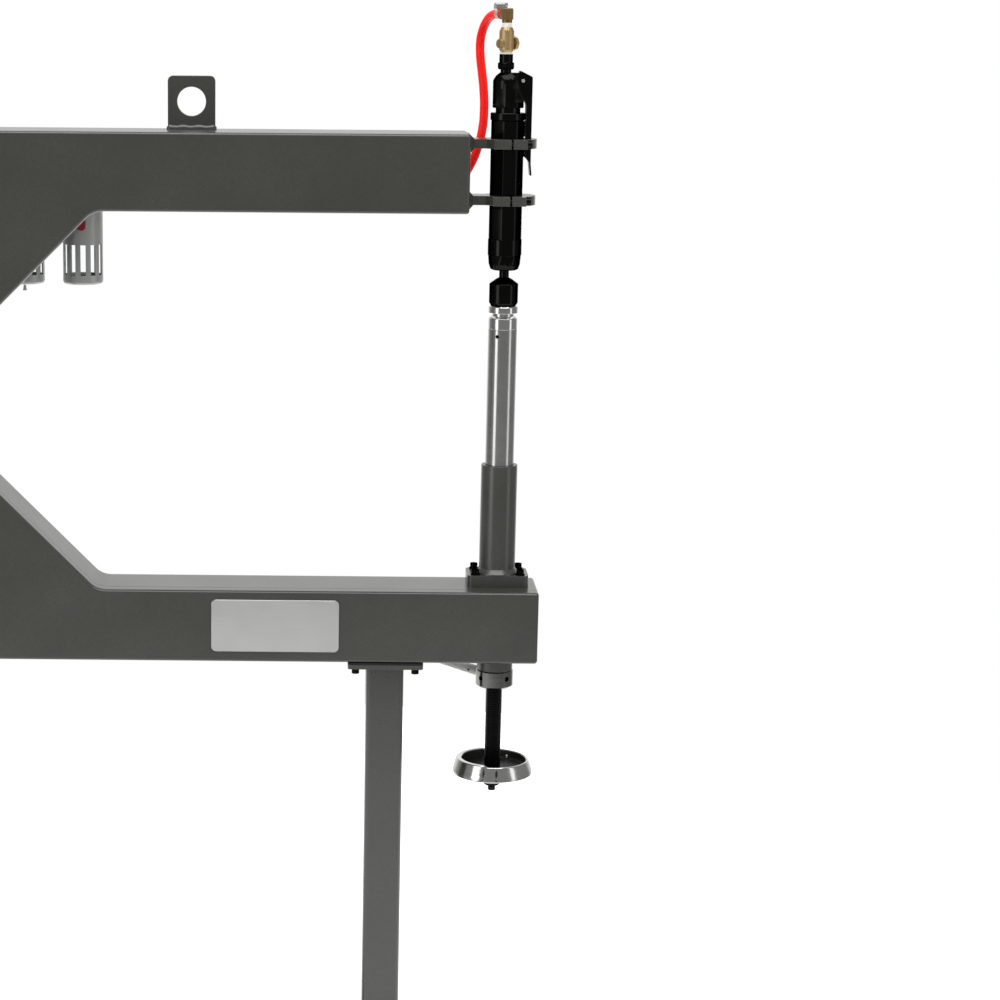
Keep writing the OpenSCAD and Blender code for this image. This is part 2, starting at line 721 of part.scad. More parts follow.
module piston() color(bright) at_axis() translate([0, 0, piston_low]) {
  r = piston_d / 2;
  rotate_extrude() polygon([[0, 0], [r - 2, 0], [r, 2], [r, piston_len - 1], [r - 1, piston_len],
    [0, piston_len]]);
}

module barrel_lock_ring() color(black) at_axis() translate([0, 0, barrel_top]) rotate_extrude() {
  r = lock_ring_d / 2;
  polygon([[neck_d / 2 + fit, 0], [r - 1, 0], [r, 1], [r, lock_ring_h - 1], [r - 1, lock_ring_h],
    [neck_d / 2 + fit, lock_ring_h]]);
}

module hammer_backhead() color(black) at_axis() difference() {
  r = backhead_r;
  union() {
    translate([0, 0, barrel_top]) cylinder(d = neck_d, h = backhead_low - barrel_top + 1);
    intersection() {
      translate([0, 0, backhead_low]) rotate_extrude() polygon([[0, 0], [r - 1, 0], [r, 1],
        [r, backhead_h - 10], [r - 3.5, backhead_h - 4], [r - 8.5, backhead_h], [0, backhead_h]]);
      union() {
        translate([0, 0, backhead_low]) rotate([0, 0, 10 + 22.5])
          cylinder(d = 2 * (r - 1) / cos(22.5), h = backhead_h - 19.5, $fn = 8);
        translate([0, 0, backhead_top - 20]) cylinder(r = r + 1, h = 21);
      }
    }
    from_side(-lug_w / 2, lug_w) polygon(rounded(
      [[0, plunger_z - 8], [pin_x + 2, plunger_z - 8], [pin_x + 6, plunger_z - 4],
       [pin_x + 6, backhead_top - 7], [pin_x - 4, backhead_top - 1.2], [0, backhead_top - 1.2]],
      [0, 0, 0, 4, 3, 0]));
  }
  for (s = [-1, 1]) translate([8, s * (lug_w / 2 + 10) - 10, plunger_z - 10]) cube([40, 20, 60]);
  translate([pin_x, 30, pin_z]) rotate([90, 0, 0]) cylinder(d = pin_d + 2 * fit, h = 60);
  translate([4, 0, plunger_z]) rotate([0, 90, 0]) cylinder(d = plunger_d + 2 * run, h = 60);
}

module lever_pin() color(bright) at_axis() translate([pin_x, lever_w / 2 + 1, pin_z]) rotate([90, 0, 0])
  cylinder(d = pin_d, h = lever_w + 2);

// Pressed channel whose web faces outwards and whose cheeks take the pin
module throttle_lever() color(black) at_axis() {
  low = throat_height + 47;
  cheek = low + 22;
  x1 = lever_out;
  outer = rounded([[pin_x - 5, pin_z - 6], [pin_x - 5, backhead_top + 2.4], [x1 - 15, backhead_top + 2.4],
    [x1, backhead_top - 5], [x1, cheek - 6], [x1 + 1.5, low], [x1 - 0.5, low],
    [x1 - 2.5, cheek - 4], [x1 - 6, cheek], [x1 - 7.5, backhead_low + 4]], [4, 2, 0, 3, 0, 0, 0, 6, 0, 0]);
  inner = [[pin_x - 20, pin_z - 20], [pin_x - 20, backhead_top + 0.4], [x1 - 16, backhead_top + 0.4],
    [lever_in, backhead_top - 5.5], [lever_in, low - 1], [x1 - 30, low - 1]];
  difference() {
    from_side(-lever_w / 2, lever_w) polygon(outer);
    from_side(-lever_w / 2 + lever_t, lever_w - 2 * lever_t) polygon(inner);
    translate([pin_x, lever_w, pin_z]) rotate([90, 0, 0]) cylinder(d = pin_d + 2 * run, h = 2 * lever_w);
  }
}

module throttle_plunger() color(bright) at_axis() translate([0, 0, plunger_z]) rotate([0, 90, 0])
  translate([0, 0, 8]) cylinder(d = plunger_d, h = lever_in - air_gap - 8);

// Air line

module inlet_bushing() color(black) at_axis() translate([inlet_x, 0, 0]) {
  translate([0, 0, backhead_top]) cylinder(r = 7, h = nut_low - backhead_top + 1);
  intersection() {
    translate([0, 0, nut_low]) rotate([0, 0, 15]) cylinder(d = 22.6, h = nut_top - nut_low, $fn = 6);
    rotate_extrude() polygon([[0, nut_low], [9, nut_low], [11, nut_low + 2], [11, nut_top - 1.5],
      [9.6, nut_top], [0, nut_top]]);
  }
  translate([0, 0, nut_top - 1]) cylinder(r = 8.8, h = coupling_top - nut_top + 1);
  translate([0, 0, coupling_top - 1]) cylinder(r = thread_r - fit, h = seal_low_h + 6);
}

module seal_ring(r, h) difference() {
  cylinder(r = r, h = h);
  translate([0, 0, -1]) cylinder(r = thread_r, h = h + 2);
}

module thread_seals() color("white") at_axis() translate([inlet_x, 0, 0]) {
  translate([0, 0, coupling_top]) seal_ring(8, seal_low_h);
  translate([0, 0, valve_top]) seal_ring(6.7, seal_up_h);
}

module at_spindle() translate([inlet_x, 0, spindle_z]) rotate([0, 90, valve_turn]) children();

module flow_valve_body() color(brass) at_axis() difference() {
  r = valve_d / 2;
  translate([inlet_x, 0, valve_low]) rotate_extrude() polygon([[thread_r, 0], [r - 2, 0], [r, 3.5],
    [r, valve_h - 5], [r - 2.3, valve_h], [thread_r, valve_h]]);
  at_spindle() translate([0, 0, -valve_d]) cylinder(r = thread_r, h = 2 * valve_d);
}

module flow_knob() color(brass) at_axis() at_spindle() {
  face = valve_d / 2 + air_gap;
  translate([0, 0, -face - 1]) cylinder(r = thread_r - run, h = 2 * face + 2);
  difference() {
    translate([0, 0, -face - 3]) cylinder(r = 5.9, h = 3);
    translate([-7, -0.7, -face - 4]) cube([14, 1.4, 2.2]);
  }
  translate([0, 0, face]) cylinder(r = 9.4, h = 4.4, $fn = 8);
}

module at_elbow() translate([inlet_x, 0, elbow_leg_z]) rotate([0, 0, 180 - elbow_turn]) children();

// Elbow block with a threaded stub below and a hose leg to the side
module hose_elbow() color(brass) at_axis() {
  translate([inlet_x, 0, elbow_low]) cylinder(r = 6.6, h = elbow_h - 6);
  translate([inlet_x, 0, elbow_low - seal_up_h - 9]) cylinder(r = thread_r - fit, h = seal_up_h + 10);
  translate([inlet_x, 0, elbow_low]) rotate([0, 0, 180 - elbow_turn])
    translate([0, 0, 4]) linear_extrude(elbow_h - 4) polygon(rounded(rect(12.8, 12.8), [2, 2, 2, 2]));
  at_elbow() rotate([0, 90, 0]) cylinder(r = 6.2, h = elbow_leg);
}

// Rings of the hose, square to the route at each of its points
function route_dir(i) =
  unit(hose_route[min(i + 1, len(hose_route) - 1)] - hose_route[max(i - 1, 0)]);
function hose_ring(i) =
  let (t = route_dir(i), u = unit(cross(t, [0.4, 0.9, 0.2])), w = cross(t, u))
  [for (k = [0:hose_sides - 1]) let (a = 360 * k / hose_sides)
    hose_route[i] + hose_d / 2 * (cos(a) * u + sin(a) * w)];

module air_hose() color(red) translate([axis_x, 0, arm_z + throat_height]) {
  n = len(hose_route);
  s = hose_sides;
  polyhedron(
    points = [for (i = [0:n - 1]) each hose_ring(i)],
    faces = concat(
      [[for (k = [0:s - 1]) k]],
      [for (i = [0:n - 2], k = [0:s - 1]) [i * s + k, (i + 1) * s + k, (i + 1) * s + (k + 1) % s]],
      [for (i = [0:n - 2], k = [0:s - 1]) [i * s + k, (i + 1) * s + (k + 1) % s, i * s + (k + 1) % s]],
      [[for (k = [s - 1:-1:0]) (n - 1) * s + k]]));
}

// Band round the hose along X, with its worm housing on top
module hose_clamp() {
  r = hose_d / 2 + 0.2;
  band = 9;
  difference() {
    union() {
      translate([-band / 2, 0, 0]) rotate([0, 90, 0]) cylinder(r = r + 0.9, h = band);
      translate([-4, -8, r + 0.4]) cube([8, 16, 3]);
      translate([0, 8, r + 4.5]) rotate([90, 0, 0]) cylinder(r = 3.6, h = 13);
      translate([0, -5, r + 4.5]) rotate([90, 0, 0]) cylinder(r = 4, h = 4, $fn = 6);
    }
    translate([-band, 0, 0]) rotate([0, 90, 0]) cylinder(r = r, h = 2 * band);
  }
}

module hose_clamps() color(bright) {
  at_axis() at_elbow() translate([elbow_leg + 8, 0, 0]) hose_clamp();
  at_frame() translate([hose_end_x + 9, unit_y, port_z]) hose_clamp();
}

// Air preparation unit

module at_unit(setback) at_frame() translate([-setback, unit_y, 0]) children();

// Cast body with a passage right through and a port on its outer side
module unit_block(side) difference() {
  from_above(body_low, unit_h) polygon(rounded(rect(unit_w, unit_d), [9, 9, 9, 9]));
  translate([0, 0, port_z]) rotate([0, 90 * side, 0]) {
    translate([0, 0, -unit_w]) cylinder(d = passage_d, h = 2 * unit_w);
    translate([0, 0, unit_w / 2 - port_depth]) cylinder(d = port_d, h = unit_w);
  }
}

module filter_body() color(cast_grey) at_unit(filter_setback) {
  unit_block(-1);
  translate([0, 0, body_top - 1]) cylinder(r = 22, h = 11);
  translate([0, 0, body_top]) cylinder(r = 5, h = 34);
  translate([0, unit_d / 2 - 1, port_z]) rotate([-90, 0, 0]) cylinder(r = 8, h = 5);
}

module lubricator_body() color(cast_grey) at_unit(lubricator_setback) {
  unit_block(1);
  translate([0, 0, body_top - 1]) cylinder(r = 17, h = 6);
}

module button_outline(grow) {
  r = 5.6 + grow;
  polygon(rounded(rect(11.4 + 2 * grow, 18 + 2 * grow), [r, r, r, r]));
}

// Bowl guard with a ring of slots and a rounded foot
module bowl_guard(vent) color(cast_grey) difference() {
  r = guard_d / 2;
  rotate_extrude() polygon([[vent, bowl_z], [r - 4, bowl_z], [r - 1.2, bowl_z + 1.2], [r, bowl_z + 4],
    [r, body_low], [r - guard_wall, body_low], [r - guard_wall, bowl_z + 5], [r - 5, bowl_z + 2.2],
    [vent, bowl_z + 2.2]]);
  for (i = [0:guard_slots - 1]) rotate([0, 0, slot_turn + 360 / guard_slots * i])
    translate([r - 8, -slot_w / 2, slot_z]) cube([16, slot_w, slot_h]);
  translate([0, 0, button_z]) rotate([90, 0, 0]) linear_extrude(guard_d) button_outline(air_gap);
}

module filter_guard() at_unit(filter_setback) bowl_guard(guard_vent_r);
module lubricator_guard() at_unit(lubricator_setback) bowl_guard(guard_vent_r);

// Clear bowl inside its guard
module bowl(vent) color([0.8, 0.85, 0.85, 0.4]) rotate_extrude()
  polygon([[vent, bowl_z + 4], [bowl_r - 5, bowl_z + 4], [bowl_r, bowl_z + 9],
    [bowl_r, body_low], [bowl_r - 2, body_low], [bowl_r - 2, bowl_z + 10],
  [bowl_r - 6, bowl_z + 6.5], [vent, bowl_z + 6.5]]);

module filter_bowl() at_unit(filter_setback) bowl(drain_r + fit);
module lubricator_bowl() at_unit(lubricator_setback) bowl(0);

module lock_button(setback) color(red) at_unit(setback) translate([0, 0, button_z]) rotate([90, 0, 0]) {
  inside = bowl_r + button_travel + air_gap;
  translate([0, 0, inside]) linear_extrude(guard_d / 2 + 1.4 - inside) button_outline(0);
}

module filter_lock_button() lock_button(filter_setback);
module lubricator_lock_button() lock_button(lubricator_setback);

module drain_cock() color(bright) at_unit(filter_setback) translate([0, 0, bowl_z]) {
  stem = 10;
  cylinder(r = drain_r, h = stem);
  translate([0, 0, -stem]) cylinder(r = 1.8, h = stem + 1);
  translate([0, 0, -stem]) cylinder(r1 = 2.7, r2 = 1.8, h = stem / 2);
}

module regulator_knob() color(black) at_unit(filter_setback)
  translate([0, 0, body_top + 10 + air_gap]) difference() {
    cylinder(r = 19, h = 38);
    translate([0, 0, -1]) cylinder(r = 5 + run, h = 26);
    for (i = [0:17]) rotate([0, 0, 20 * i]) translate([19.6, 0, -1]) cylinder(r = 1.6, h = 32, $fn = 16);
  }

module pressure_gauge() color(black) at_unit(filter_setback)
  translate([0, unit_d / 2 + 4, port_z]) rotate([-90, 0, 0]) {
    cylinder(r = 6, h = 8);
    translate([0, 0, 7]) rotate_extrude() polygon([[0, 0], [17, 0], [20.5, 2], [20.5, 15], [19, 16],
      [17.5, 16], [17.5, 14.5], [0, 14.5]]);
  }

module oil_sight_dome() color([0.8, 0.85, 0.85, 0.4]) at_unit(lubricator_setback)
  translate([0, 0, body_top + 5]) difference() {
    rotate_extrude() polygon([[0, 0], [13, 0], [13, 14], [10, 18], [0, 18]]);
    translate([0, 0, 8]) cylinder(r = 4 + run, h = 12);
  }

module drip_screw() color(bright) at_unit(lubricator_setback)
  translate([0, 0, body_top + 13 + air_gap]) difference() {
    union() {
      cylinder(r = 4, h = 14);
      translate([0, 0, 10]) cylinder(r = 6, h = 5);
    }
    translate([-8, -0.8, 13.5]) cube([16, 1.6, 3]);
  }

module bracket_bolt_places() at_frame() for (s = [-1, 1])
  translate([bracket_x, half_w + 6, port_z + s * bracket_bolt_z]) rotate([-90, 0, 0]) children();

// Block between the two bodies on a plate that is bolted to the frame's back
module unit_bracket() color(bright) difference() {
  gap = unit_pitch - unit_w;
  at_frame() translate([bracket_x, half_w, port_z]) {
    translate([-20, 0, -bracket_bolt_z - 10]) cube([40, 6, 2 * bracket_bolt_z + 20]);
    difference() {
      translate([-gap / 2, 0, -18]) cube([gap, unit_y - half_w + unit_d / 2 - 6, 36]);
      translate([-gap, unit_y - half_w, 0]) rotate([0, 90, 0]) cylinder(d = passage_d, h = 2 * gap);
    }
  }
  bracket_bolt_places() bolt_hole(40);
}

module bracket_bolts() color(black) bracket_bolt_places() socket_bolt(6 + shell_wall);

module outlet_barb() color(brass) at_unit(lubricator_setback)
  translate([unit_w / 2, 0, port_z]) rotate([0, 90, 0]) {
    translate([0, 0, -12]) cylinder(d = port_d - 2 * fit, h = 13);
    cylinder(r = 8.4, h = 12, $fn = 6);
    translate([0, 0, 11]) cylinder(r = 5.2, h = barb_end - unit_w / 2 - 11);
  }

front_shell();
rear_shell();
lifting_eye();
upper_clamp_yoke();
lower_clamp_yoke();
upper_clamp_cap();
lower_clamp_cap();
clamp_bolts();
front_leg();
rear_leg();
front_foot();
rear_foot();
tie_bar();
floor_pads();
foot_caps();
leg_gaskets();
leg_bolts();
post_sleeve();
sleeve_flange();
flange_bolts();
lift_nut();
hammer_barrel();
barrel_lock_ring();
hammer_backhead();
lever_pin();
inlet_bushing();
thread_seals();
flow_valve_body();
hose_elbow();
air_hose();
hose_clamps();
unit_bracket();
bracket_bolts();
filter_body();
filter_bowl();
filter_guard();
lubricator_body();
lubricator_bowl();
lubricator_guard();
pressure_gauge();
outlet_barb();
oil_sight_dome();
throttle_lever();
throttle_plunger();
piston();
upper_die();
flow_knob();
lower_die();
die_set_screw();
anvil_post();
lift_screw();
handwheel();
wheel_bolt();
lock_nut();
lock_lever();
regulator_knob();
drip_screw();
drain_cock();
filter_lock_button();
lubricator_lock_button();
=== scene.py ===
import json
import math

import bmesh
import bpy
from mathutils import Matrix, Vector


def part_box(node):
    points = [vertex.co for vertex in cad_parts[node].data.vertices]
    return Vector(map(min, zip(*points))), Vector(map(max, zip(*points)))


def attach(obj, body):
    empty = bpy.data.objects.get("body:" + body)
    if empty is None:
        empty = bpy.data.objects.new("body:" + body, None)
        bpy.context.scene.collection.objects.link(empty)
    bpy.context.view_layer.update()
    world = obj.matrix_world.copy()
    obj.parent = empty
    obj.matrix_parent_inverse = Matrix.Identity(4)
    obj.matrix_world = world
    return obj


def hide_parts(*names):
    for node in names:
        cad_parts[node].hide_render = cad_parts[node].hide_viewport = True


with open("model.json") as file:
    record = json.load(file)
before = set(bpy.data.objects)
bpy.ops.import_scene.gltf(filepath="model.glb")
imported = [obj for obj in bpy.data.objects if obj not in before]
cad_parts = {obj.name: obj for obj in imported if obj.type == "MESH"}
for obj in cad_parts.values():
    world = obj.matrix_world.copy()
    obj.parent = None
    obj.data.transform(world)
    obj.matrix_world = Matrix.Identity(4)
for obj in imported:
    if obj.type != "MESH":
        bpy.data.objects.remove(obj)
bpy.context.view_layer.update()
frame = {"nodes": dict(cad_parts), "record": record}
nodes = frame["nodes"]
record = frame["record"]
body_of_node = {n: body for body, names in record["behaviour"]["bodies"].items() for n in names}
slot_of_node = {part["node"]: part["material_slot"] for part in record["subparts"]}

MM = 0.001

# Places that the rest is measured from
UPPER_ARM_H = 102 * MM
shell_low, shell_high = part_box("front_shell")
REAR_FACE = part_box("rear_shell")[1].y
sleeve_low, sleeve_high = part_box("post_sleeve")
AXIS_X = (sleeve_low.x + sleeve_high.x) / 2
AXIS_Y = (sleeve_low.y + sleeve_high.y) / 2
SLEEVE_R = (sleeve_high.x - sleeve_low.x) / 2
ARM_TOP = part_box("sleeve_flange")[0].z
THROAT_TOP = shell_high.z - UPPER_ARM_H

# The photograph's frame and the camera that was fitted to it, from the hammer axis at the lower arm
IMAGE = 1000
FOCAL = 2629.6
PRINCIPAL = (298.3, 577.3)
CAMERA_FROM_AXIS = Vector((-0.24585, -3.46014, 0.78157))
PITCH = 0.21994
YAW = -0.00639
ROLL = -0.00758
SENSOR = 36.0

# Hose route from the elbow to the outlet barb, in metres from the hammer axis at the throat's top
HOSE_ROUTE = [
    (-0.0085, 0.02153, 0.2525), (-0.013, 0.03266, 0.2525), (-0.0175, 0.0438, 0.2522),
    (-0.0226, 0.0558, 0.2491), (-0.027, 0.0664, 0.2427), (-0.031, 0.076, 0.232), (-0.0336, 0.0828, 0.2162),
    (-0.033, 0.085, 0.197), (-0.03, 0.086, 0.174), (-0.0275, 0.0855, 0.152), (-0.0265, 0.0845, 0.129),
    (-0.028, 0.083, 0.105), (-0.0335, 0.0815, 0.08), (-0.043, 0.08, 0.056), (-0.057, 0.079, 0.035),
    (-0.077, 0.0785, 0.019), (-0.103, 0.0785, 0.0085), (-0.133, 0.079, 0.003), (-0.167, 0.08, 0.001),
    (-0.203, 0.082, 0.0005), (-0.241, 0.0835, 0.001), (-0.281, 0.086, 0.0025), (-0.323, 0.0885, 0.005),
    (-0.365, 0.09, 0.0085), (-0.407, 0.091, 0.012), (-0.447, 0.091, 0.013), (-0.475, 0.091, 0.013),
    (-0.505, 0.091, 0.013),
]
HOSE_DIAMETER = 11.6 * MM


# Shader building

def place(tree, kind, inputs=None, **settings):
    node = tree.nodes.new(kind)
    for name, value in settings.items():
        setattr(node, name, value)
    for name, value in (inputs or {}).items():
        if isinstance(value, bpy.types.NodeSocket):
            tree.links.new(value, node.inputs[name])
        else:
            node.inputs[name].default_value = value
    return node


def new_group(name, inputs, outputs):
    group = bpy.data.node_groups.new(name, "ShaderNodeTree")
    for label, kind, default in inputs:
        socket = group.interface.new_socket(label, in_out="INPUT", socket_type=kind)
        if default is not None:
            socket.default_value = default
    for label, kind in outputs:
        group.interface.new_socket(label, in_out="OUTPUT", socket_type=kind)
    return group, group.nodes.new("NodeGroupInput"), group.nodes.new("NodeGroupOutput")


def coat_group():
    """Fine grain on slow clouds: a colour between two tones, a roughness and a height."""
    group, source, sink = new_group(
        "coat",
        [("Position", "NodeSocketVector", None), ("Grain Scale", "NodeSocketFloat", 900.0),
         ("Cloud Scale", "NodeSocketFloat", 9.0), ("Light Tone", "NodeSocketColor", None),
         ("Dark Tone", "NodeSocketColor", None), ("Smooth", "NodeSocketFloat", 0.3),
         ("Rough", "NodeSocketFloat", 0.5)],
        [("Color", "NodeSocketColor"), ("Roughness", "NodeSocketFloat"), ("Height", "NodeSocketFloat")])
    grain = place(group, "ShaderNodeTexNoise",
                  {"Vector": source.outputs["Position"], "Scale": source.outputs["Grain Scale"],
                   "Detail": 2.0})
    cloud = place(group, "ShaderNodeTexNoise",
                  {"Vector": source.outputs["Position"], "Scale": source.outputs["Cloud Scale"],
                   "Detail": 4.0})
    both = place(group, "ShaderNodeMath", {0: grain.outputs["Fac"], 1: cloud.outputs["Fac"]},
                 operation="MULTIPLY")
    tone = place(group, "ShaderNodeMapRange", {"Value": both.outputs[0], "From Min": 0.1, "From Max": 0.42})
    colour = place(group, "ShaderNodeMix",
                   {"Factor": tone.outputs[0], "A": source.outputs["Dark Tone"],
                    "B": source.outputs["Light Tone"]},
                   data_type="RGBA")
    rough = place(group, "ShaderNodeMapRange",
                  {"Value": cloud.outputs["Fac"], "From Min": 0.3, "From Max": 0.7,
                   "To Min": source.outputs["Smooth"], "To Max": source.outputs["Rough"]})
    group.links.new(colour.outputs["Result"], sink.inputs["Color"])
    group.links.new(rough.outputs[0], sink.inputs["Roughness"])
    group.links.new(grain.outputs["Fac"], sink.inputs["Height"])
    return group


def worn_edge_group():
    """Mask that is 1 where a finish has rubbed thin on outer edges."""
    group, source, sink = new_group(
        "worn_edge",
        [("Position", "NodeSocketVector", None), ("Patch Scale", "NodeSocketFloat", 60.0),
         ("Reach", "NodeSocketFloat", 0.55)],
        [("Mask", "NodeSocketFloat")])
    bend = place(group, "ShaderNodeNewGeometry")
    edge = place(group, "ShaderNodeMapRange",
                 {"Value": bend.outputs["Pointiness"], "From Min": source.outputs["Reach"], "From Max": 0.75})
    patch = place(group, "ShaderNodeTexNoise",
                  {"Vector": source.outputs["Position"], "Scale": source.outputs["Patch Scale"],
                   "Detail": 5.0})
    gate = place(group, "ShaderNodeMapRange",
                 {"Value": patch.outputs["Fac"], "From Min": 0.4, "From Max": 0.65})
    mask = place(group, "ShaderNodeMath", {0: edge.outputs[0], 1: gate.outputs[0]}, operation="MULTIPLY")
    group.links.new(mask.outputs[0], sink.inputs["Mask"])
    return group


def tool_mark_group():
    """Fine marks left by turning or drawing, packed along the axes with a large stretch."""
    group, source, sink = new_group(
        "tool_marks",
        [("Position", "NodeSocketVector", None), ("Stretch", "NodeSocketVector", None)],
        [("Tone", "NodeSocketFloat"), ("Height", "NodeSocketFloat")])
    drawn = place(group, "ShaderNodeVectorMath",
                  {0: source.outputs["Position"], 1: source.outputs["Stretch"]}, operation="MULTIPLY")
    marks = place(group, "ShaderNodeTexNoise",
                  {"Vector": drawn.outputs[0], "Scale": 1.0, "Detail": 6.0, "Roughness": 0.65})
    stain = place(group, "ShaderNodeTexNoise",
                  {"Vector": source.outputs["Position"], "Scale": 45.0, "Detail": 3.0})
    tone = place(group, "ShaderNodeMix",
                 {"Factor": 0.3, "A": marks.outputs["Fac"], "B": stain.outputs["Fac"]})
    group.links.new(tone.outputs["Result"], sink.inputs["Tone"])
    group.links.new(marks.outputs["Fac"], sink.inputs["Height"])
    return group


COAT = coat_group()
WORN_EDGE = worn_edge_group()
TOOL_MARKS = tool_mark_group()
COAT_DEPTH = 0.2 * MM
MARK_DEPTH = 0.1 * MM


def new_material(name):
    material = bpy.data.materials.new(name)
    material.use_nodes = True
    tree = material.node_tree
    tree.nodes.clear()
    surface = tree.nodes.new("ShaderNodeBsdfPrincipled")
    output = tree.nodes.new("ShaderNodeOutputMaterial")
    tree.links.new(surface.outputs[0], output.inputs["Surface"])
    return material, tree, surface


def coated(name, light, dark, smooth, rough, grain=900.0, bump=0.05, wear=None, shine=0.5, rim=None):
    """Painted, oxidised, cast or moulded finish. wear is the colour that rubs through at the edges.
    rim is how much of its sheen an oxide that is part of the metal keeps at a slant."""
    material, tree, surface = new_material(name)
    where = place(tree, "ShaderNodeTexCoord").outputs["Object"]
    coat = place(tree, "ShaderNodeGroup", node_tree=COAT)
    for label, value in (("Light Tone", (*light, 1)), ("Dark Tone", (*dark, 1)), ("Smooth", smooth),
                         ("Rough", rough), ("Grain Scale", grain)):
        coat.inputs[label].default_value = value
    tree.links.new(where, coat.inputs["Position"])
    colour = coat.outputs["Color"]
    if wear:
        worn = place(tree, "ShaderNodeGroup", {"Position": where}, node_tree=WORN_EDGE)
        colour = place(tree, "ShaderNodeMix", {"Factor": worn.outputs["Mask"], "A": colour, "B": (*wear, 1)},
                       data_type="RGBA").outputs["Result"]
    relief = place(tree, "ShaderNodeBump",
                   {"Strength": bump, "Distance": COAT_DEPTH, "Height": coat.outputs["Height"]})
    tree.links.new(colour, surface.inputs["Base Color"])
    tree.links.new(coat.outputs["Roughness"], surface.inputs["Roughness"])
    tree.links.new(relief.outputs[0], surface.inputs["Normal"])
    surface.inputs["Specular IOR Level"].default_value = shine
    if rim:
        surface.inputs["Metallic"].default_value = 1.0
        surface.inputs["Specular Tint"].default_value = (rim, rim, rim, 1)
    return material


def machined(name, light, dark, smooth, rough, stretch, bump=0.03, metal=1.0):
    """Bare metal with the marks of its making. stretch says how tightly they are packed along each axis.
    metal is below 1 under a dull wash."""
    material, tree, surface = new_material(name)
    where = place(tree, "ShaderNodeTexCoord").outputs["Object"]
    marks = place(tree, "ShaderNodeGroup", {"Position": where}, node_tree=TOOL_MARKS)
    marks.inputs["Stretch"].default_value = stretch
    colour = place(tree, "ShaderNodeMix",
                   {"Factor": marks.outputs["Tone"], "A": (*dark, 1), "B": (*light, 1)}, data_type="RGBA")
    gloss = place(tree, "ShaderNodeMapRange",
                  {"Value": marks.outputs["Tone"], "From Min": 0.3, "From Max": 0.7,
                   "To Min": smooth, "To Max": rough})
    relief = place(tree, "ShaderNodeBump",
                   {"Strength": bump, "Distance": MARK_DEPTH, "Height": marks.outputs["Height"]})
    tree.links.new(colour.outputs["Result"], surface.inputs["Base Color"])
    tree.links.new(gloss.outputs[0], surface.inputs["Roughness"])
    tree.links.new(relief.outputs[0], surface.inputs["Normal"])
    surface.inputs["Metallic"].default_value = metal
    return material


def clear(name, bend):
    """See-through wall with a faint haze that varies over it. bend is its refraction."""
    material, tree, surface = new_material(name)
    where = place(tree, "ShaderNodeTexCoord").outputs["Object"]
    haze = place(tree, "ShaderNodeTexNoise", {"Vector": where, "Scale": 60.0, "Detail": 3.0})
    gloss = place(tree, "ShaderNodeMapRange", {"Value": haze.outputs["Fac"], "To Min": 0.0, "To Max": 0.08})
    tree.links.new(gloss.outputs[0], surface.inputs["Roughness"])
    surface.inputs["Base Color"].default_value = (0.98, 0.99, 0.99, 1)
    surface.inputs["Transmission Weight"].default_value = 1.0
    surface.inputs["IOR"].default_value = bend
    return material


# How tightly tool marks are packed along each axis: rings round an upright piece, the grain
# of a casting, and lines along a rolled sheet
TURNED = (40, 40, 1500)
CAST = (220, 220, 220)
ROLLED = (9, 400, 900)

# Each finish has a light and a dark tone, a roughness from smooth to rough, and its grain or marks
# with the depth of their relief
FINISHES = {
    "frame_paint": coated("frame_paint", (0.045, 0.046, 0.039), (0.036, 0.037, 0.031), 0.23, 0.28, 420.0,
                          0.05, shine=0.8),
    "black_oxide": coated("black_oxide", (0.019, 0.019, 0.018), (0.013, 0.013, 0.0125), 0.09, 0.18, 1100.0,
                          0.03, wear=(0.09, 0.09, 0.087), rim=0.15),
    "bare_steel": machined("bare_steel", (0.62, 0.62, 0.60), (0.44, 0.44, 0.43), 0.16, 0.28, TURNED, 0.02),
    "polished_steel": machined("polished_steel", (0.76, 0.76, 0.75), (0.62, 0.62, 0.61), 0.11, 0.21, TURNED,
                               0.015),
    "brass": machined("brass", (0.72, 0.52, 0.27), (0.56, 0.39, 0.19), 0.40, 0.54, CAST, 0.05),
    "hose_red": coated("hose_red", (1.0, 0.014, 0.010), (0.94, 0.009, 0.007), 0.26, 0.38, 500.0, 0.03,
                       shine=0.2),
    "ptfe_white": coated("ptfe_white", (0.82, 0.82, 0.79), (0.66, 0.65, 0.61), 0.55, 0.75, 800.0, 0.2),
    "red_plastic": coated("red_plastic", (0.30, 0.004, 0.016), (0.21, 0.003, 0.010), 0.25, 0.38, 700.0, 0.05),
    "clear_bowl": clear("clear_bowl", 1.06),
    "cast_zinc": coated("cast_zinc", (0.36, 0.36, 0.35), (0.25, 0.25, 0.25), 0.34, 0.50, 500.0, 0.18,
                        wear=(0.55, 0.55, 0.55)),
    "guard_metal": machined("guard_metal", (0.46, 0.47, 0.46), (0.36, 0.37, 0.36), 0.34, 0.46, TURNED, 0.02,
                            metal=0.55),
    "gasket_rubber": coated("gasket_rubber", (0.014, 0.014, 0.014), (0.006, 0.006, 0.006), 0.65, 0.85, 600.0,
                            0.2, shine=0.3),
    "black_plastic": coated("black_plastic", (0.022, 0.022, 0.023), (0.012, 0.012, 0.013), 0.38, 0.55, 900.0,
                            0.12),
}
OILED_BLACK = coated("oiled_black", (0.0012, 0.0012, 0.0011), (0.0006, 0.0006, 0.0006), 0.3, 0.45, 900.0,
                     0.03, shine=0.12)
# Black paint of the wheel's dish, also laid on the floors of the grip grooves as painted shade
BLACK_DISH_AND_GROOVE_SHADE = coated("black_dish_and_groove_shade", (0.018, 0.018, 0.017), (0.009, 0.009, 0.0085), 0.3, 0.45, 700.0, 0.12,
                     shine=0.4)
PLATE_METAL = machined("plate_metal", (0.80, 0.80, 0.79), (0.70, 0.70, 0.69), 0.30, 0.42, ROLLED, 0.02)
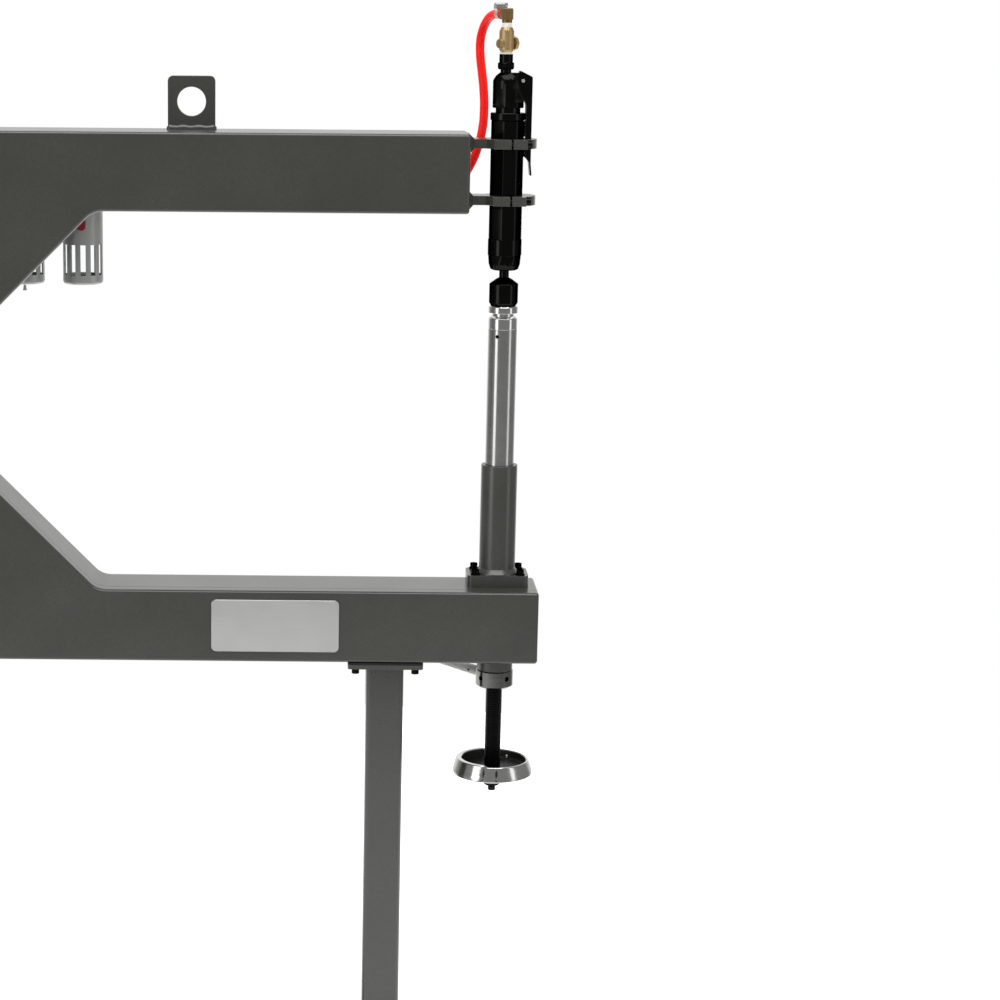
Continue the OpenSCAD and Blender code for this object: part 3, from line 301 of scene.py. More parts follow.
TARNISHED = machined("tarnished_brass", (0.38, 0.24, 0.10), (0.22, 0.13, 0.055), 0.30, 0.48, CAST, 0.06)
DIAL_ENAMEL = coated("dial_enamel", (0.78, 0.78, 0.75), (0.70, 0.70, 0.67), 0.35, 0.45, 900.0, 0.03)
DIAL_INK = coated("dial_ink", (0.015, 0.015, 0.015), (0.008, 0.008, 0.008), 0.45, 0.60, 900.0, 0.03)
GAUGE_GLASS = clear("gauge_glass", 1.45)
DULL_STEEL = machined("dull_steel", (0.25, 0.25, 0.24), (0.16, 0.16, 0.155), 0.12, 0.22, TURNED, 0.02)
SAND_CAST = coated("sand_cast", (0.44, 0.44, 0.43), (0.36, 0.36, 0.35), 0.36, 0.48, 600.0, 0.15)
PIN_END = machined("pin_end", (0.86, 0.86, 0.85), (0.74, 0.74, 0.73), 0.42, 0.55, CAST, 0.03)
FINISH_OF_NODE = {"hose_elbow": TARNISHED, "lock_nut": DULL_STEEL, "lock_lever": SAND_CAST,
                  "drain_cock": SAND_CAST, "lever_pin": PIN_END, "lift_screw": OILED_BLACK}


# Piece building

SAME_POINT = 1e-6
SAME_PLANE = 1e-5
FLAT_WITHIN = math.radians(0.5)
SMOOTH_BELOW = math.radians(40)


def make_piece(name, form, finish, body):
    """Turns a bmesh into a piece of the object, riding on a body and finished with the given materials."""
    mesh = bpy.data.meshes.new(name)
    form.to_mesh(mesh)
    form.free()
    for material in finish if isinstance(finish, tuple) else (finish,):
        mesh.materials.append(material)
    mesh.shade_smooth()
    mesh.set_sharp_from_angle(angle=SMOOTH_BELOW)
    piece = bpy.data.objects.new(name, mesh)
    bpy.context.scene.collection.objects.link(piece)
    even = piece.modifiers.new("even_shading", "WEIGHTED_NORMAL")
    even.keep_sharp = True
    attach(piece, body)
    return piece


def close_up(form):
    """Merges doubles and turns every face outwards."""
    bmesh.ops.remove_doubles(form, verts=form.verts, dist=SAME_POINT)
    bmesh.ops.recalc_face_normals(form, faces=form.faces)


def turned(form, profile, at, steps=48):
    """Spins an outline of radius and height pairs round an upright line through at."""
    line = [form.verts.new(at + Vector((r, 0, z))) for r, z in profile]
    edges = [form.edges.new(pair) for pair in zip(line, line[1:])]
    return bmesh.ops.spin(form, geom=line + edges, cent=at, axis=(0, 0, 1), angle=2 * math.pi, steps=steps,
                          use_merge=True)


def sweep_ring(form, stations, sides, closed):
    """Sweeps a ring of radius 1 through stations, each a matrix that places it."""
    first = bmesh.ops.create_circle(form, segments=sides, radius=1, matrix=stations[0])["verts"]
    start = ring = list({edge for vert in first for edge in vert.link_edges})
    for before, after in zip(stations, stations[1:]):
        grown = bmesh.ops.extrude_edge_only(form, edges=ring)["geom"]
        verts = {g for g in grown if isinstance(g, bmesh.types.BMVert)}
        bmesh.ops.transform(form, matrix=after @ before.inverted(), verts=list(verts))
        ring = [g for g in grown if isinstance(g, bmesh.types.BMEdge) and verts.issuperset(g.verts)]
    if closed:
        bmesh.ops.bridge_loops(form, edges=start + ring)
    else:
        bmesh.ops.holes_fill(form, edges=start + ring)


# How far each piece's sharp edges are eased, in millimetres. The rest take a hair.
EASED_EDGES = {
    "lifting_eye": 0.7, "sleeve_flange": 1.2, "floor_pads": 1.0, "upper_clamp_yoke": 0.8,
    "lower_clamp_yoke": 0.8, "upper_clamp_cap": 0.8, "lower_clamp_cap": 0.8, "front_leg": 0.8,
    "rear_leg": 0.8, "foot_caps": 1.0, "post_sleeve": 0.8, "anvil_post": 0.6, "hammer_backhead": 0.7,
    "hammer_barrel": 0.5, "throttle_lever": 0.4, "inlet_bushing": 0.5, "lock_nut": 0.4, "unit_bracket": 0.8,
    "filter_body": 1.5, "lubricator_body": 1.5, "filter_guard": 0.4, "lubricator_guard": 0.4,
    "flow_knob": 0.5, "outlet_barb": 0.5,
    "clamp_bolts": 0.4, "flange_bolts": 0.4, "leg_bolts": 0.4, "bracket_bolts": 0.4, "wheel_bolt": 0.4,
    "regulator_knob": 0.6, "filter_lock_button": 0.5, "lubricator_lock_button": 0.5, "drain_cock": 0.4,
    "drip_screw": 0.4, "hose_clamps": 0.3, "pressure_gauge": 0.5, "upper_die": 0.4, "lower_die": 0.3,
}
HAIR = 0.2
SHARP = math.radians(32)
SHELL_BEND_IN = 3.7 * MM
SHELL_BEND_BACK = 5.5 * MM
BEND_STEPS = 6
MADE_APART = ("front_shell", "rear_shell", "air_hose", "lift_screw", "thread_seals", "handwheel",
              "hose_elbow", "hose_clamps", "wheel_bolt")


def copy_of(node):
    """Copy of a CAD node's mesh, with its triangles merged to whole faces."""
    form = bmesh.new()
    form.from_mesh(nodes[node].data)
    bmesh.ops.remove_doubles(form, verts=form.verts, dist=SAME_POINT)
    bmesh.ops.dissolve_limit(form, angle_limit=FLAT_WITHIN, verts=form.verts, edges=form.edges)
    return form


def sharp_edges(form):
    return [e for e in form.edges if e.is_manifold and e.calc_face_angle() > SHARP]


def round_over(form, edges, width, segments=2, clamp=True):
    bmesh.ops.bevel(form, geom=edges, offset=width, offset_type="OFFSET", segments=segments, profile=0.5,
                    affect="EDGES", material=-1, clamp_overlap=clamp, loop_slide=True)


def stand_for(node, form, name, finish=None):
    """Makes a form the piece that is shown in a node's place."""
    slot = slot_of_node[node]
    finish = finish or FINISH_OF_NODE.get(node, FINISHES[slot])
    piece = make_piece(name, form, finish, body_of_node[node])
    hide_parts(node)
    return piece


def ease_edges(node):
    form = copy_of(node)
    round_over(form, sharp_edges(form), EASED_EDGES.get(node, HAIR) * MM)
    return stand_for(node, form, node + "_eased")


def bend_shell(node, outer_y):
    """Half shell whose skin bends over a radius into its sides, while its seam stays sharp."""
    form = copy_of(node)
    low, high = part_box("bracket_bolts")
    outwards = math.copysign(1, outer_y)

    def on_skin(verts):
        return all(abs(v.co.y - outer_y) < SAME_PLANE for v in verts)

    def in_bolt_hole(verts):
        return all(low.x < v.co.x < high.x and low.z < v.co.z < high.z for v in verts)

    old_skin = [f for f in form.faces if on_skin(f.verts) or in_bolt_hole(f.verts)]
    bmesh.ops.delete(form, geom=old_skin, context="FACES")
    rims = [e for e in form.edges if e.is_boundary]
    outline = [e for e in rims if on_skin(e.verts)]
    bmesh.ops.holes_fill(form, edges=[e for e in rims if not on_skin(e.verts)])
    skin = bmesh.ops.contextual_create(form, geom=outline)["faces"]
    bmesh.ops.translate(form, verts=skin[0].verts, vec=(0, -outwards * SHELL_BEND_BACK, 0))
    bmesh.ops.recalc_face_normals(form, faces=form.faces)
    bend = [math.radians(90 * i / BEND_STEPS) for i in range(BEND_STEPS + 1)]
    for a, b in zip(bend, bend[1:]):
        bmesh.ops.inset_region(form, faces=skin, use_even_offset=True,
                               thickness=SHELL_BEND_IN * (math.cos(a) - math.cos(b)),
                               depth=SHELL_BEND_BACK * (math.sin(b) - math.sin(a)))
    return stand_for(node, form, node + "_bent")


# Camera and hose

def make_camera():
    forward = Vector((math.sin(YAW) * math.cos(PITCH), math.cos(YAW) * math.cos(PITCH), -math.sin(PITCH)))
    level = Vector((math.cos(YAW), -math.sin(YAW), 0))
    down = forward.cross(level)
    right = math.cos(ROLL) * level + math.sin(ROLL) * down
    down = -math.sin(ROLL) * level + math.cos(ROLL) * down
    turn = Matrix((right, -down, -forward)).transposed()
    data = bpy.data.cameras.new("camera")
    data.sensor_width = SENSOR
    data.lens = FOCAL / IMAGE * SENSOR
    data.shift_x = 0.5 - PRINCIPAL[0] / IMAGE
    data.shift_y = PRINCIPAL[1] / IMAGE - 0.5
    camera = bpy.data.objects.new("camera", data)
    camera.matrix_world = Matrix.Translation(Vector((AXIS_X, 0, ARM_TOP)) + CAMERA_FROM_AXIS) @ turn.to_4x4()
    bpy.context.scene.collection.objects.link(camera)
    bpy.context.scene.camera = camera


def make_hose():
    clamps = ease_edges("hose_clamps")
    start = Vector((AXIS_X, 0, THROAT_TOP))
    points = [start + Vector(p) for p in HOSE_ROUTE]
    line = bpy.data.curves.new("air_hose_line", "CURVE")
    line.dimensions = "3D"
    line.bevel_depth = HOSE_DIAMETER / 2
    line.bevel_resolution = 5
    line.resolution_u = 6
    line.use_fill_caps = True
    spline = line.splines.new("BEZIER")
    spline.bezier_points.add(len(points) - 1)
    for knot, point in zip(spline.bezier_points, points):
        knot.co = point
        knot.handle_left_type = knot.handle_right_type = "AUTO"
    line.materials.append(FINISHES["hose_red"])
    hose = bpy.data.objects.new("air_hose_line", line)
    bpy.context.scene.collection.objects.link(hose)
    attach(hose, "frame")
    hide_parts("air_hose")


# Welds

RIPPLE = 3.2 * MM
WELD_STEP = 1.1 * MM
BEAD_SIDES = 10
BEAD_END = 0.45
END_GROWTH = 0.2
CORNER_STEPS = 6


def bead_stations(path, upright, radius, closed, ripple, wave, tall):
    """Places for a ring along a weld. It swells with each ripple of the bead and in slow waves."""
    stations = []
    run = 0
    count = len(path)
    for i, point in enumerate(path):
        after = path[(i + 1) % count] if closed or i + 1 < count else point
        before = path[i - 1] if closed or i else point
        along = (after - before).normalized()
        side = along.cross(upright).normalized()
        swell = 1 + ripple * math.sin(2 * math.pi * run / RIPPLE) + wave * math.sin(run / RIPPLE + 1)
        near_end = min(i, count - 1 - i) if not closed else count
        taper = min(1, BEAD_END + END_GROWTH * near_end)
        turn = Matrix((side, tall * side.cross(along), along)).transposed() * (radius * swell * taper)
        stations.append(Matrix.Translation(point) @ turn.to_4x4())
        run += (after - point).length
    return stations


def straight(start, end):
    steps = max(2, round((end - start).length / WELD_STEP))
    return [start.lerp(end, i / steps) for i in range(steps + 1)]


def square_path(centre, half, corner, u, v):
    """Way round a square tube with round corners, in the plane of u and v."""
    flat = half - corner
    points = []
    for turn, (su, sv) in enumerate(((1, 1), (-1, 1), (-1, -1), (1, -1))):
        middle = centre + su * flat * u + sv * flat * v
        arc = [math.radians(90 * turn + 90 * i / CORNER_STEPS) for i in range(CORNER_STEPS + 1)]
        points += [middle + corner * (math.cos(a) * u + math.sin(a) * v) for a in arc]
    path = []
    for a, b in zip(points, points[1:] + points[:1]):
        path += straight(a, b)[:-1]
    return path


def weld(form, path, upright, radius, closed=True, ripple=0.11, wave=0.06, tall=1.0):
    sweep_ring(form, bead_stations(path, upright, radius, closed, ripple, wave, tall), BEAD_SIDES, closed)


EYE_BEAD = 3.6 * MM
EYE_BEAD_REACH = 1.5 * MM
STAND_BEAD = 2.8 * MM
TUBE_CORNER = 7 * MM
LEG_PLATE_T = 6 * MM
PAD_REACH = 40 * MM
FOOT_END = 3 * MM


def make_eye_welds():
    form = bmesh.new()
    low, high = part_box("lifting_eye")
    for y in (low.y, high.y):
        path = straight(Vector((low.x - EYE_BEAD_REACH, y, low.z)),
                        Vector((high.x + EYE_BEAD_REACH, y, low.z)))
        weld(form, path, Vector((0, 0, 1)), EYE_BEAD, closed=False, ripple=0.02, wave=0.12, tall=1.6)
    close_up(form)
    make_piece("eye_welds", form, FINISHES["frame_paint"], "frame")


# Radius beyond the sleeve and height above the flange, in millimetres
FLANGE_FILLET = ((0.0, -0.4), (5.3, -0.4), (5.3, 1.0), (4.9, 1.7), (3.5, 3.2), (2.2, 4.6), (1.1, 6.0),
                 (0.6, 6.8), (0.0, 7.1), (0.0, -0.4))
FILLET_STEPS = 72
FLANGE_RING_H = 6 * MM


def make_flange_weld():
    """Ground fillet between the sleeve and its flange."""
    form = bmesh.new()
    foot = Vector((AXIS_X, AXIS_Y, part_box("sleeve_flange")[1].z - FLANGE_RING_H))
    turned(form, [(SLEEVE_R + r * MM, z * MM) for r, z in FLANGE_FILLET], foot, FILLET_STEPS)
    close_up(form)
    make_piece("flange_weld", form, FINISHES["frame_paint"], "frame")


def make_stand_welds():
    """Beads round the legs' ends, round the tie bar's ends and beside the floor pads."""
    form = bmesh.new()
    x_axis, y_axis, up = Vector((1, 0, 0)), Vector((0, 1, 0)), Vector((0, 0, 1))
    for side in ("front", "rear"):
        foot_low, foot_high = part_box(side + "_foot")
        half = (foot_high.x - foot_low.x) / 2
        x = (foot_low.x + foot_high.x) / 2
        plate_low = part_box(side + "_leg")[1].z - LEG_PLATE_T
        for z in (foot_high.z, plate_low):
            weld(form, square_path(Vector((x, 0, z)), half, TUBE_CORNER, x_axis, y_axis), up, STAND_BEAD)
        for y in (foot_low.y, foot_high.y):
            pad_end = y - math.copysign(PAD_REACH, y)
            foot_end = y - math.copysign(FOOT_END, y)
            for beside in (-half + TUBE_CORNER / 2, half - TUBE_CORNER / 2):
                line = straight(Vector((x + beside, pad_end, foot_low.z)),
                                Vector((x + beside, foot_end, foot_low.z)))
                weld(form, line, up, STAND_BEAD, closed=False)
    bar_low, bar_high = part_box("tie_bar")
    half = (bar_high.z - bar_low.z) / 2
    for x in (bar_low.x, bar_high.x):
        around = square_path(Vector((x, 0, bar_low.z + half)), half, TUBE_CORNER, y_axis, up)
        weld(form, around, x_axis, STAND_BEAD)
    close_up(form)
    make_piece("stand_welds", form, FINISHES["frame_paint"], "frame")


# Lift screw, handwheel and thread tape

THREAD_DEPTH = 0.8 * MM
THREAD_PITCH = 2.5 * MM
THREAD_STARTS = 2
THREAD_LEAD_IN = 2 * MM
THREAD_RUN_OUT = 8 * MM
TURN_STEPS = 24
# Half the rib's width at its foot and crest, as shares of the pitch, and how deep it is sunk
RIB_FOOT, RIB_CREST = 0.46, 0.2
RIB_SINK = 0.2 * MM
PIVOT_R, PIVOT_H = 8 * MM, 20 * MM
PLAIN_END = 12 * MM
SHOULDER_H = 3 * MM


def make_lift_screw():
    """Two-start lift screw with a plain pivot on top and a plain end in the wheel."""
    form = bmesh.new()
    low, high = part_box("lift_screw")
    crest = (high.x - low.x) / 2
    root = crest - THREAD_DEPTH
    at = Vector((AXIS_X, AXIS_Y, low.z))
    length = high.z - low.z - PIVOT_H
    turned(form, [(0, 0), (crest, 0), (crest, PLAIN_END - MM), (root, PLAIN_END), (root, length - SHOULDER_H),
                  (root - MM, length), (PIVOT_R, length), (PIVOT_R, length + PIVOT_H - MM),
                  (PIVOT_R - MM, length + PIVOT_H), (0, length + PIVOT_H)], at)
    lead = THREAD_PITCH * THREAD_STARTS
    turns = int((length - PLAIN_END - THREAD_RUN_OUT) / lead)
    for start in range(THREAD_STARTS):
        base = PLAIN_END + THREAD_LEAD_IN + start * THREAD_PITCH
        foot = root - RIB_SINK
        outline = ((foot, -RIB_FOOT), (crest, -RIB_CREST), (crest, RIB_CREST), (foot, RIB_FOOT))
        rib = [form.verts.new(at + Vector((r, 0, base + z * THREAD_PITCH))) for r, z in outline]
        edges = [form.edges.new(pair) for pair in zip(rib, rib[1:] + rib[:1])]
        last = bmesh.ops.spin(form, geom=rib + edges, cent=at, axis=(0, 0, 1), angle=2 * math.pi * turns,
                              steps=TURN_STEPS * turns, dvec=(0, 0, lead / TURN_STEPS))["geom_last"]
        bmesh.ops.holes_fill(form, edges=edges + [g for g in last if isinstance(g, bmesh.types.BMEdge)])
    close_up(form)
    stand_for("lift_screw", form, "lift_screw_threaded")


WHEEL_EDGE = 0.8 * MM
WHEEL_RIM_R = 47 * MM
WHEEL_RIM_H = 20 * MM
WHEEL_LIP = 1.4 * MM
# Bearings in degrees, from the right and round by the back
GRIP_FROM, GRIP_TO = 105, 256
GRIP_GROOVES = (253, 271)
GRIP_RISE = 1.8 * MM
GRIP_BAND = 3 * MM
GROOVE_WALL = 0.2 * MM
GROOVE_DEPTH = 0.8 * MM
# The wall's plain part: its margins below and above, its least facet, how far one facet's
# middles spread in degrees, and how squarely it faces the front
WALL_BELOW, WALL_ABOVE = 1 * MM, 2 * MM
WALL_FACET = 5 * MM
FACET_SPREAD = 0.4
FACES_FRONT = 0.8


def make_handwheel():
    """Wheel with a polished rim, a blackened dish, a grip that stands a little higher, and painted shade in
    its grooves.
    """
    form = copy_of("handwheel")
    round_over(form, sharp_edges(form), WHEEL_EDGE)
    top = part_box("handwheel")[1].z
    foot = top - WHEEL_RIM_H

    def bearing_of(point):
        return math.degrees(math.atan2(point.y - AXIS_Y, point.x - AXIS_X)) % 360

    def height_of(face):
        return max(v.co.z for v in face.verts) - min(v.co.z for v in face.verts)

    wall = {f: bearing_of(f.calc_center_median()) for f in form.faces
            if foot + WALL_BELOW < f.calc_center_median().z < top - WALL_ABOVE and -f.normal.y > FACES_FRONT}
    shade_painted_grooves = []
    for groove in GRIP_GROOVES:
        facet = min((f for f in wall if height_of(f) > WALL_FACET), key=lambda f: abs(wall[f] - groove))
        shade_painted_grooves += [f for f in wall if abs(wall[f] - wall[facet]) < FACET_SPREAD]
    bmesh.ops.inset_region(form, faces=shade_painted_grooves, use_even_offset=True, thickness=GROOVE_WALL,
                           depth=-GROOVE_DEPTH)
    for vert in form.verts:
        if vert.co.z > top - GRIP_BAND and GRIP_FROM < bearing_of(vert.co) < GRIP_TO:
            vert.co.z += GRIP_RISE
    for face in form.faces:
        middle = face.calc_center_median()
        out = math.hypot(middle.x - AXIS_X, middle.y - AXIS_Y)
        face.material_index = 0 if out > WHEEL_RIM_R or middle.z > top - WHEEL_LIP else 1
    # The grooves' floors are painted black as the shade of the crease
    for face in shade_painted_grooves:
        face.material_index = 1
    stand_for("handwheel", form, "handwheel_two_tone", (FINISHES["polished_steel"], BLACK_DISH_AND_GROOVE_SHADE))


# Radius and drop below the hub of the domed washer, in millimetres
WASHER_DOME = ((3.3, 0), (11.5, 0), (11.5, -5.6), (11.0, -6.9), (9.6, -8.2), (7.4, -9.2), (5.6, -9.7),
               (3.3, -9.7), (3.3, 0))
WASHER_RIM = 0.1 * MM


def make_wheel_bolt():
    """Bolt in the hub, on a washer that is domed below."""
    form = copy_of("wheel_bolt")
    hub_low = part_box("handwheel")[0].z
    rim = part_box("wheel_bolt")[1].x - AXIS_X - WASHER_RIM
    plain_washer = {v for v in form.verts if math.hypot(v.co.x - AXIS_X, v.co.y - AXIS_Y) > rim}
    edge = list(plain_washer)
    while edge:
        edge = [e.other_vert(v) for v in edge for e in v.link_edges if e.other_vert(v) not in plain_washer]
        plain_washer.update(edge)
    bmesh.ops.delete(form, geom=list(plain_washer), context="VERTS")
    round_over(form, sharp_edges(form), EASED_EDGES["wheel_bolt"] * MM)
    turned(form, [(r * MM, z * MM) for r, z in WASHER_DOME], Vector((AXIS_X, AXIS_Y, hub_low)))
    close_up(form)
    stand_for("wheel_bolt", form, "wheel_bolt_domed")


# Radius and height of the small screw's hollow head, in millimetres
SCREW_HEAD = ((0, 0), (2.7, 0), (2.7, 0.88), (2.16, 1.87), (1.43, 2.2), (1.1, 2.2), (1.1, 0.88), (0, 0.88))
SCREW_BEARING = math.radians(60)
SCREW_SEAT_R = 46 * MM
SCREW_DROP = 9 * MM
SMALL_TURN_STEPS = 20


def make_wheel_screw():
    """Small screw with a hollow head in the wheel's inner wall."""
    form = bmesh.new()
    turned(form, [(r * MM, z * MM) for r, z in SCREW_HEAD], Vector((0, 0, 0)), SMALL_TURN_STEPS)
    close_up(form)
    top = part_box("handwheel")[1].z
    inwards = Vector((-math.cos(SCREW_BEARING), -math.sin(SCREW_BEARING), 0))
    seat = Vector((AXIS_X, AXIS_Y, top - SCREW_DROP)) - SCREW_SEAT_R * inwards
    turn = inwards.to_track_quat("Z", "Y").to_matrix().to_4x4()
    bmesh.ops.transform(form, matrix=Matrix.Translation(seat) @ turn, verts=form.verts)
    make_piece("wheel_screw", form, FINISHES["polished_steel"], "screw")


ELBOW_CROWN = 3.4 * MM
CROWN_STEPS = 5
CROWN_BAND = 0.1 * MM


def make_elbow():
    """Elbow whose block is rounded over at the top, as a casting is."""
    form = copy_of("hose_elbow")
    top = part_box("hose_elbow")[1].z
    crown = [e for e in sharp_edges(form) if all(v.co.z > top - CROWN_BAND for v in e.verts)]
    round_over(form, crown, ELBOW_CROWN, segments=CROWN_STEPS)
    round_over(form, sharp_edges(form), HAIR * MM)
    stand_for("hose_elbow", form, "hose_elbow_crowned")


CHEEK_IN = 22 * MM
CHEEK_OUT = 25.5 * MM
CHEEK_T = 2 * MM
CHEEK_GAP = 2 * MM
CHEEK_CLEAR = 0.6 * MM
CHEEK_FOOT = 23 * MM
CHEEK_EASE = 0.4 * MM


def make_lever_cheeks():
    """Lower edges of the lever's two sides, which reach down beside the barrel above and below the clamp."""
    form = bmesh.new()
    lever_low, lever_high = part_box("throttle_lever")
    cap_low, cap_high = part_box("upper_clamp_cap")
    ring_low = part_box("barrel_lock_ring")[0].z
    foot = lever_low.z + CHEEK_FOOT
    spans = [(cap_high.z + CHEEK_GAP, ring_low - CHEEK_CLEAR), (foot, cap_low.z - CHEEK_GAP)]
    for z0, z1 in spans:
        for y in (lever_low.y + CHEEK_T / 2, lever_high.y - CHEEK_T / 2):
            if z1 - z0 > CHEEK_T:
                middle = Vector((AXIS_X + (CHEEK_IN + CHEEK_OUT) / 2, y, (z0 + z1) / 2))
                size = Matrix.Diagonal((CHEEK_OUT - CHEEK_IN, CHEEK_T, z1 - z0, 1))
                bmesh.ops.create_cube(form, size=1, matrix=Matrix.Translation(middle) @ size)
    round_over(form, form.edges[:], CHEEK_EASE)
    make_piece("lever_cheeks", form, FINISHES["black_oxide"], "lever")


TAPE_LAYER = 0.55 * MM
TAPE_BORE = 4 * MM
TAPE_LOW_R, TAPE_HIGH_R = 8 * MM, 6.7 * MM
# Each layer dips at its foot and swells to its crest, and every third one dips deeper
TAPE_DIP, TAPE_DEEP_DIP = 0.1 * MM, 0.35 * MM
TAPE_SWELL, TAPE_CREST = 0.2, 0.6
TAPE_END = 0.3 * MM


def make_thread_tape():
    """Tape wound in layers round the two threads of the flow valve."""
    form = bmesh.new()
    low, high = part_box("thread_seals")
    valve_low, valve_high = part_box("flow_valve_body")
    centre = (low + high) / 2
    for z0, z1, r in ((low.z, valve_low.z, TAPE_LOW_R), (valve_high.z, high.z, TAPE_HIGH_R)):
        layers = max(3, round((z1 - z0) / TAPE_LAYER))
        step = (z1 - z0) / layers
        wound = [(TAPE_BORE, 0)]
        for i in range(layers):
            dip = TAPE_DEEP_DIP if i % 3 == 2 else TAPE_DIP
            wound += [(r - dip, i * step), (r - dip * TAPE_SWELL, (i + TAPE_CREST) * step)]
        wound += [(r - TAPE_END, z1 - z0), (TAPE_BORE, z1 - z0), (TAPE_BORE, 0)]
        turned(form, wound, Vector((centre.x, centre.y, z0)))
    close_up(form)
    stand_for("thread_seals", form, "thread_tape")


# Gauge face on the back of the air preparation unit

GAUGE_FACE_R = 17.2 * MM
GAUGE_RECESS = 1.5 * MM
DIAL_T = 0.3 * MM
# The dial's rim: its width, the place of its crest and how far it rises
DIAL_RIM, DIAL_RIM_CREST, DIAL_RIM_RISE = 0.8 * MM, 0.4 * MM, 1.6
DIAL_TICKS = 31
DIAL_SWEEP = 270
TICKS_A_STEP = 5
# Width and length of the marks
LONG_TICK = (0.55 * MM, 3.4 * MM)
SHORT_TICK = (0.3 * MM, 1.9 * MM)
TICK_T = 0.15 * MM
TICK_INSET = 2.2 * MM
# Radius and height of the needle's hub, in millimetres
NEEDLE_HUB = ((0, 0), (1.9, 0), (1.9, 0.9), (1.4, 1.2), (0, 1.2))
NEEDLE_LEN = 13 * MM
NEEDLE_REACH = 0.35
NEEDLE_LIFT = 0.8 * MM
NEEDLE_R, NEEDLE_TIP_R = 0.75 * MM, 0.15 * MM
GLASS_T = 0.25 * MM
GLASS_DOME = 0.25 * MM
GLASS_SINK = 0.1 * MM
GLASS_STEPS = 8


def make_gauge_face():
    low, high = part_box("pressure_gauge")
    seat = Vector(((low.x + high.x) / 2, high.y - GAUGE_RECESS, (low.z + high.z) / 2))
    facing = Matrix.Translation(seat) @ Vector((0, 1, 0)).to_track_quat("Z", "Y").to_matrix().to_4x4()

    form = bmesh.new()
    turned(form, [(0, 0), (GAUGE_FACE_R, 0), (GAUGE_FACE_R, DIAL_T),
                  (GAUGE_FACE_R - DIAL_RIM_CREST, DIAL_T * DIAL_RIM_RISE), (GAUGE_FACE_R - DIAL_RIM, DIAL_T),
                  (0, DIAL_T)], Vector((0, 0, 0)))
    close_up(form)
    bmesh.ops.transform(form, matrix=facing, verts=form.verts)
    make_piece("gauge_dial", form, DIAL_ENAMEL, "frame")

    form = bmesh.new()
    for i in range(DIAL_TICKS):
        bearing = math.radians(DIAL_SWEEP * (i / (DIAL_TICKS - 1) - 0.5))
        wide, long = SHORT_TICK if i % TICKS_A_STEP else LONG_TICK
        out = GAUGE_FACE_R - TICK_INSET - long / 2
        spot = Matrix.Rotation(bearing, 4, "Z") @ Matrix.Translation((0, out, DIAL_T))
        bmesh.ops.create_cube(form, size=1, matrix=spot @ Matrix.Diagonal((wide, long, TICK_T, 1)))
    turned(form, [(r * MM, z * MM) for r, z in NEEDLE_HUB], Vector((0, 0, 0)), SMALL_TURN_STEPS)
    tilt = Matrix.Rotation(math.radians(DIAL_SWEEP / 2), 4, "Z")
    along = Matrix.Translation((0, NEEDLE_LEN * NEEDLE_REACH, NEEDLE_LIFT))
    laid = tilt @ along @ Matrix.Rotation(-math.pi / 2, 4, "X")
    bmesh.ops.create_cone(form, cap_ends=True, segments=4, radius1=NEEDLE_R, radius2=NEEDLE_TIP_R,
                          depth=NEEDLE_LEN, matrix=laid)
    close_up(form)
    bmesh.ops.transform(form, matrix=facing, verts=form.verts)
    make_piece("gauge_marks", form, DIAL_INK, "frame")

    form = bmesh.new()
    rise = GAUGE_RECESS - GLASS_SINK
    arc = [math.radians(90 * i / GLASS_STEPS) for i in range(GLASS_STEPS + 1)]
    outer = [(GAUGE_FACE_R * math.sin(a), rise - GLASS_DOME * (1 - math.cos(a))) for a in arc]
    turned(form, outer + [(r, z - GLASS_T) for r, z in reversed(outer)], Vector((0, 0, 0)))
    close_up(form)
    bmesh.ops.transform(form, matrix=facing, verts=form.verts)
    make_piece("gauge_glass", form, GAUGE_GLASS, "frame")


# Plate on the lower arm, left bare

# Its sides from the hammer axis and from the lower arm's top
PLATE_X = (-383.3 * MM, -213 * MM)
PLATE_Z = (-82.7 * MM, -11.9 * MM)
PLATE_CORNER = 6.5 * MM
CORNER_SEGMENTS = 8
PLATE_T = 1.6 * MM
# The broken edge: its size, the share of each of its two steps, and how much of it the lower edge lacks
PLATE_BREAK = 0.9 * MM
BREAK_SHARES = (0.35, 0.65)
LOWER_EDGE_LACK = 0.85


def make_bare_plate():
    form = bmesh.new()
    wide, tall = PLATE_X[1] - PLATE_X[0], PLATE_Z[1] - PLATE_Z[0]
    middle = Vector((AXIS_X + (PLATE_X[0] + PLATE_X[1]) / 2, shell_low.y,
                     ARM_TOP + (PLATE_Z[0] + PLATE_Z[1]) / 2))
    bmesh.ops.create_cube(form, size=1, matrix=Matrix.Diagonal((wide, PLATE_T, tall, 1)))
    across = [e for e in form.edges if abs(e.verts[0].co.y - e.verts[1].co.y) > PLATE_T / 2]
    bmesh.ops.bevel(form, geom=across, offset=PLATE_CORNER, segments=CORNER_SEGMENTS, profile=0.5,
                    affect="EDGES", material=-1)
    face = min(form.faces, key=lambda f: f.calc_center_median().y)
    bmesh.ops.translate(form, verts=face.verts, vec=(0, PLATE_BREAK, 0))
    for share in BREAK_SHARES:
        bmesh.ops.inset_region(form, faces=[face], thickness=share * PLATE_BREAK, depth=0)
        bmesh.ops.translate(form, verts=face.verts, vec=(0, (share - 1) * PLATE_BREAK, 0))
        below = [v for v in face.verts if v.co.z < 0]
        bmesh.ops.translate(form, verts=below, vec=(0, 0, -LOWER_EDGE_LACK * share * PLATE_BREAK))
    bmesh.ops.translate(form, verts=form.verts, vec=middle - Vector((0, PLATE_T / 2, 0)))
    make_piece("bare_plate", form, PLATE_METAL, "frame")


# Studio

FLOOR_R = 2.5
FLOOR_SIDES = 96
LIT_FROM_AXIS = Vector((-0.25, 0, 0.3))


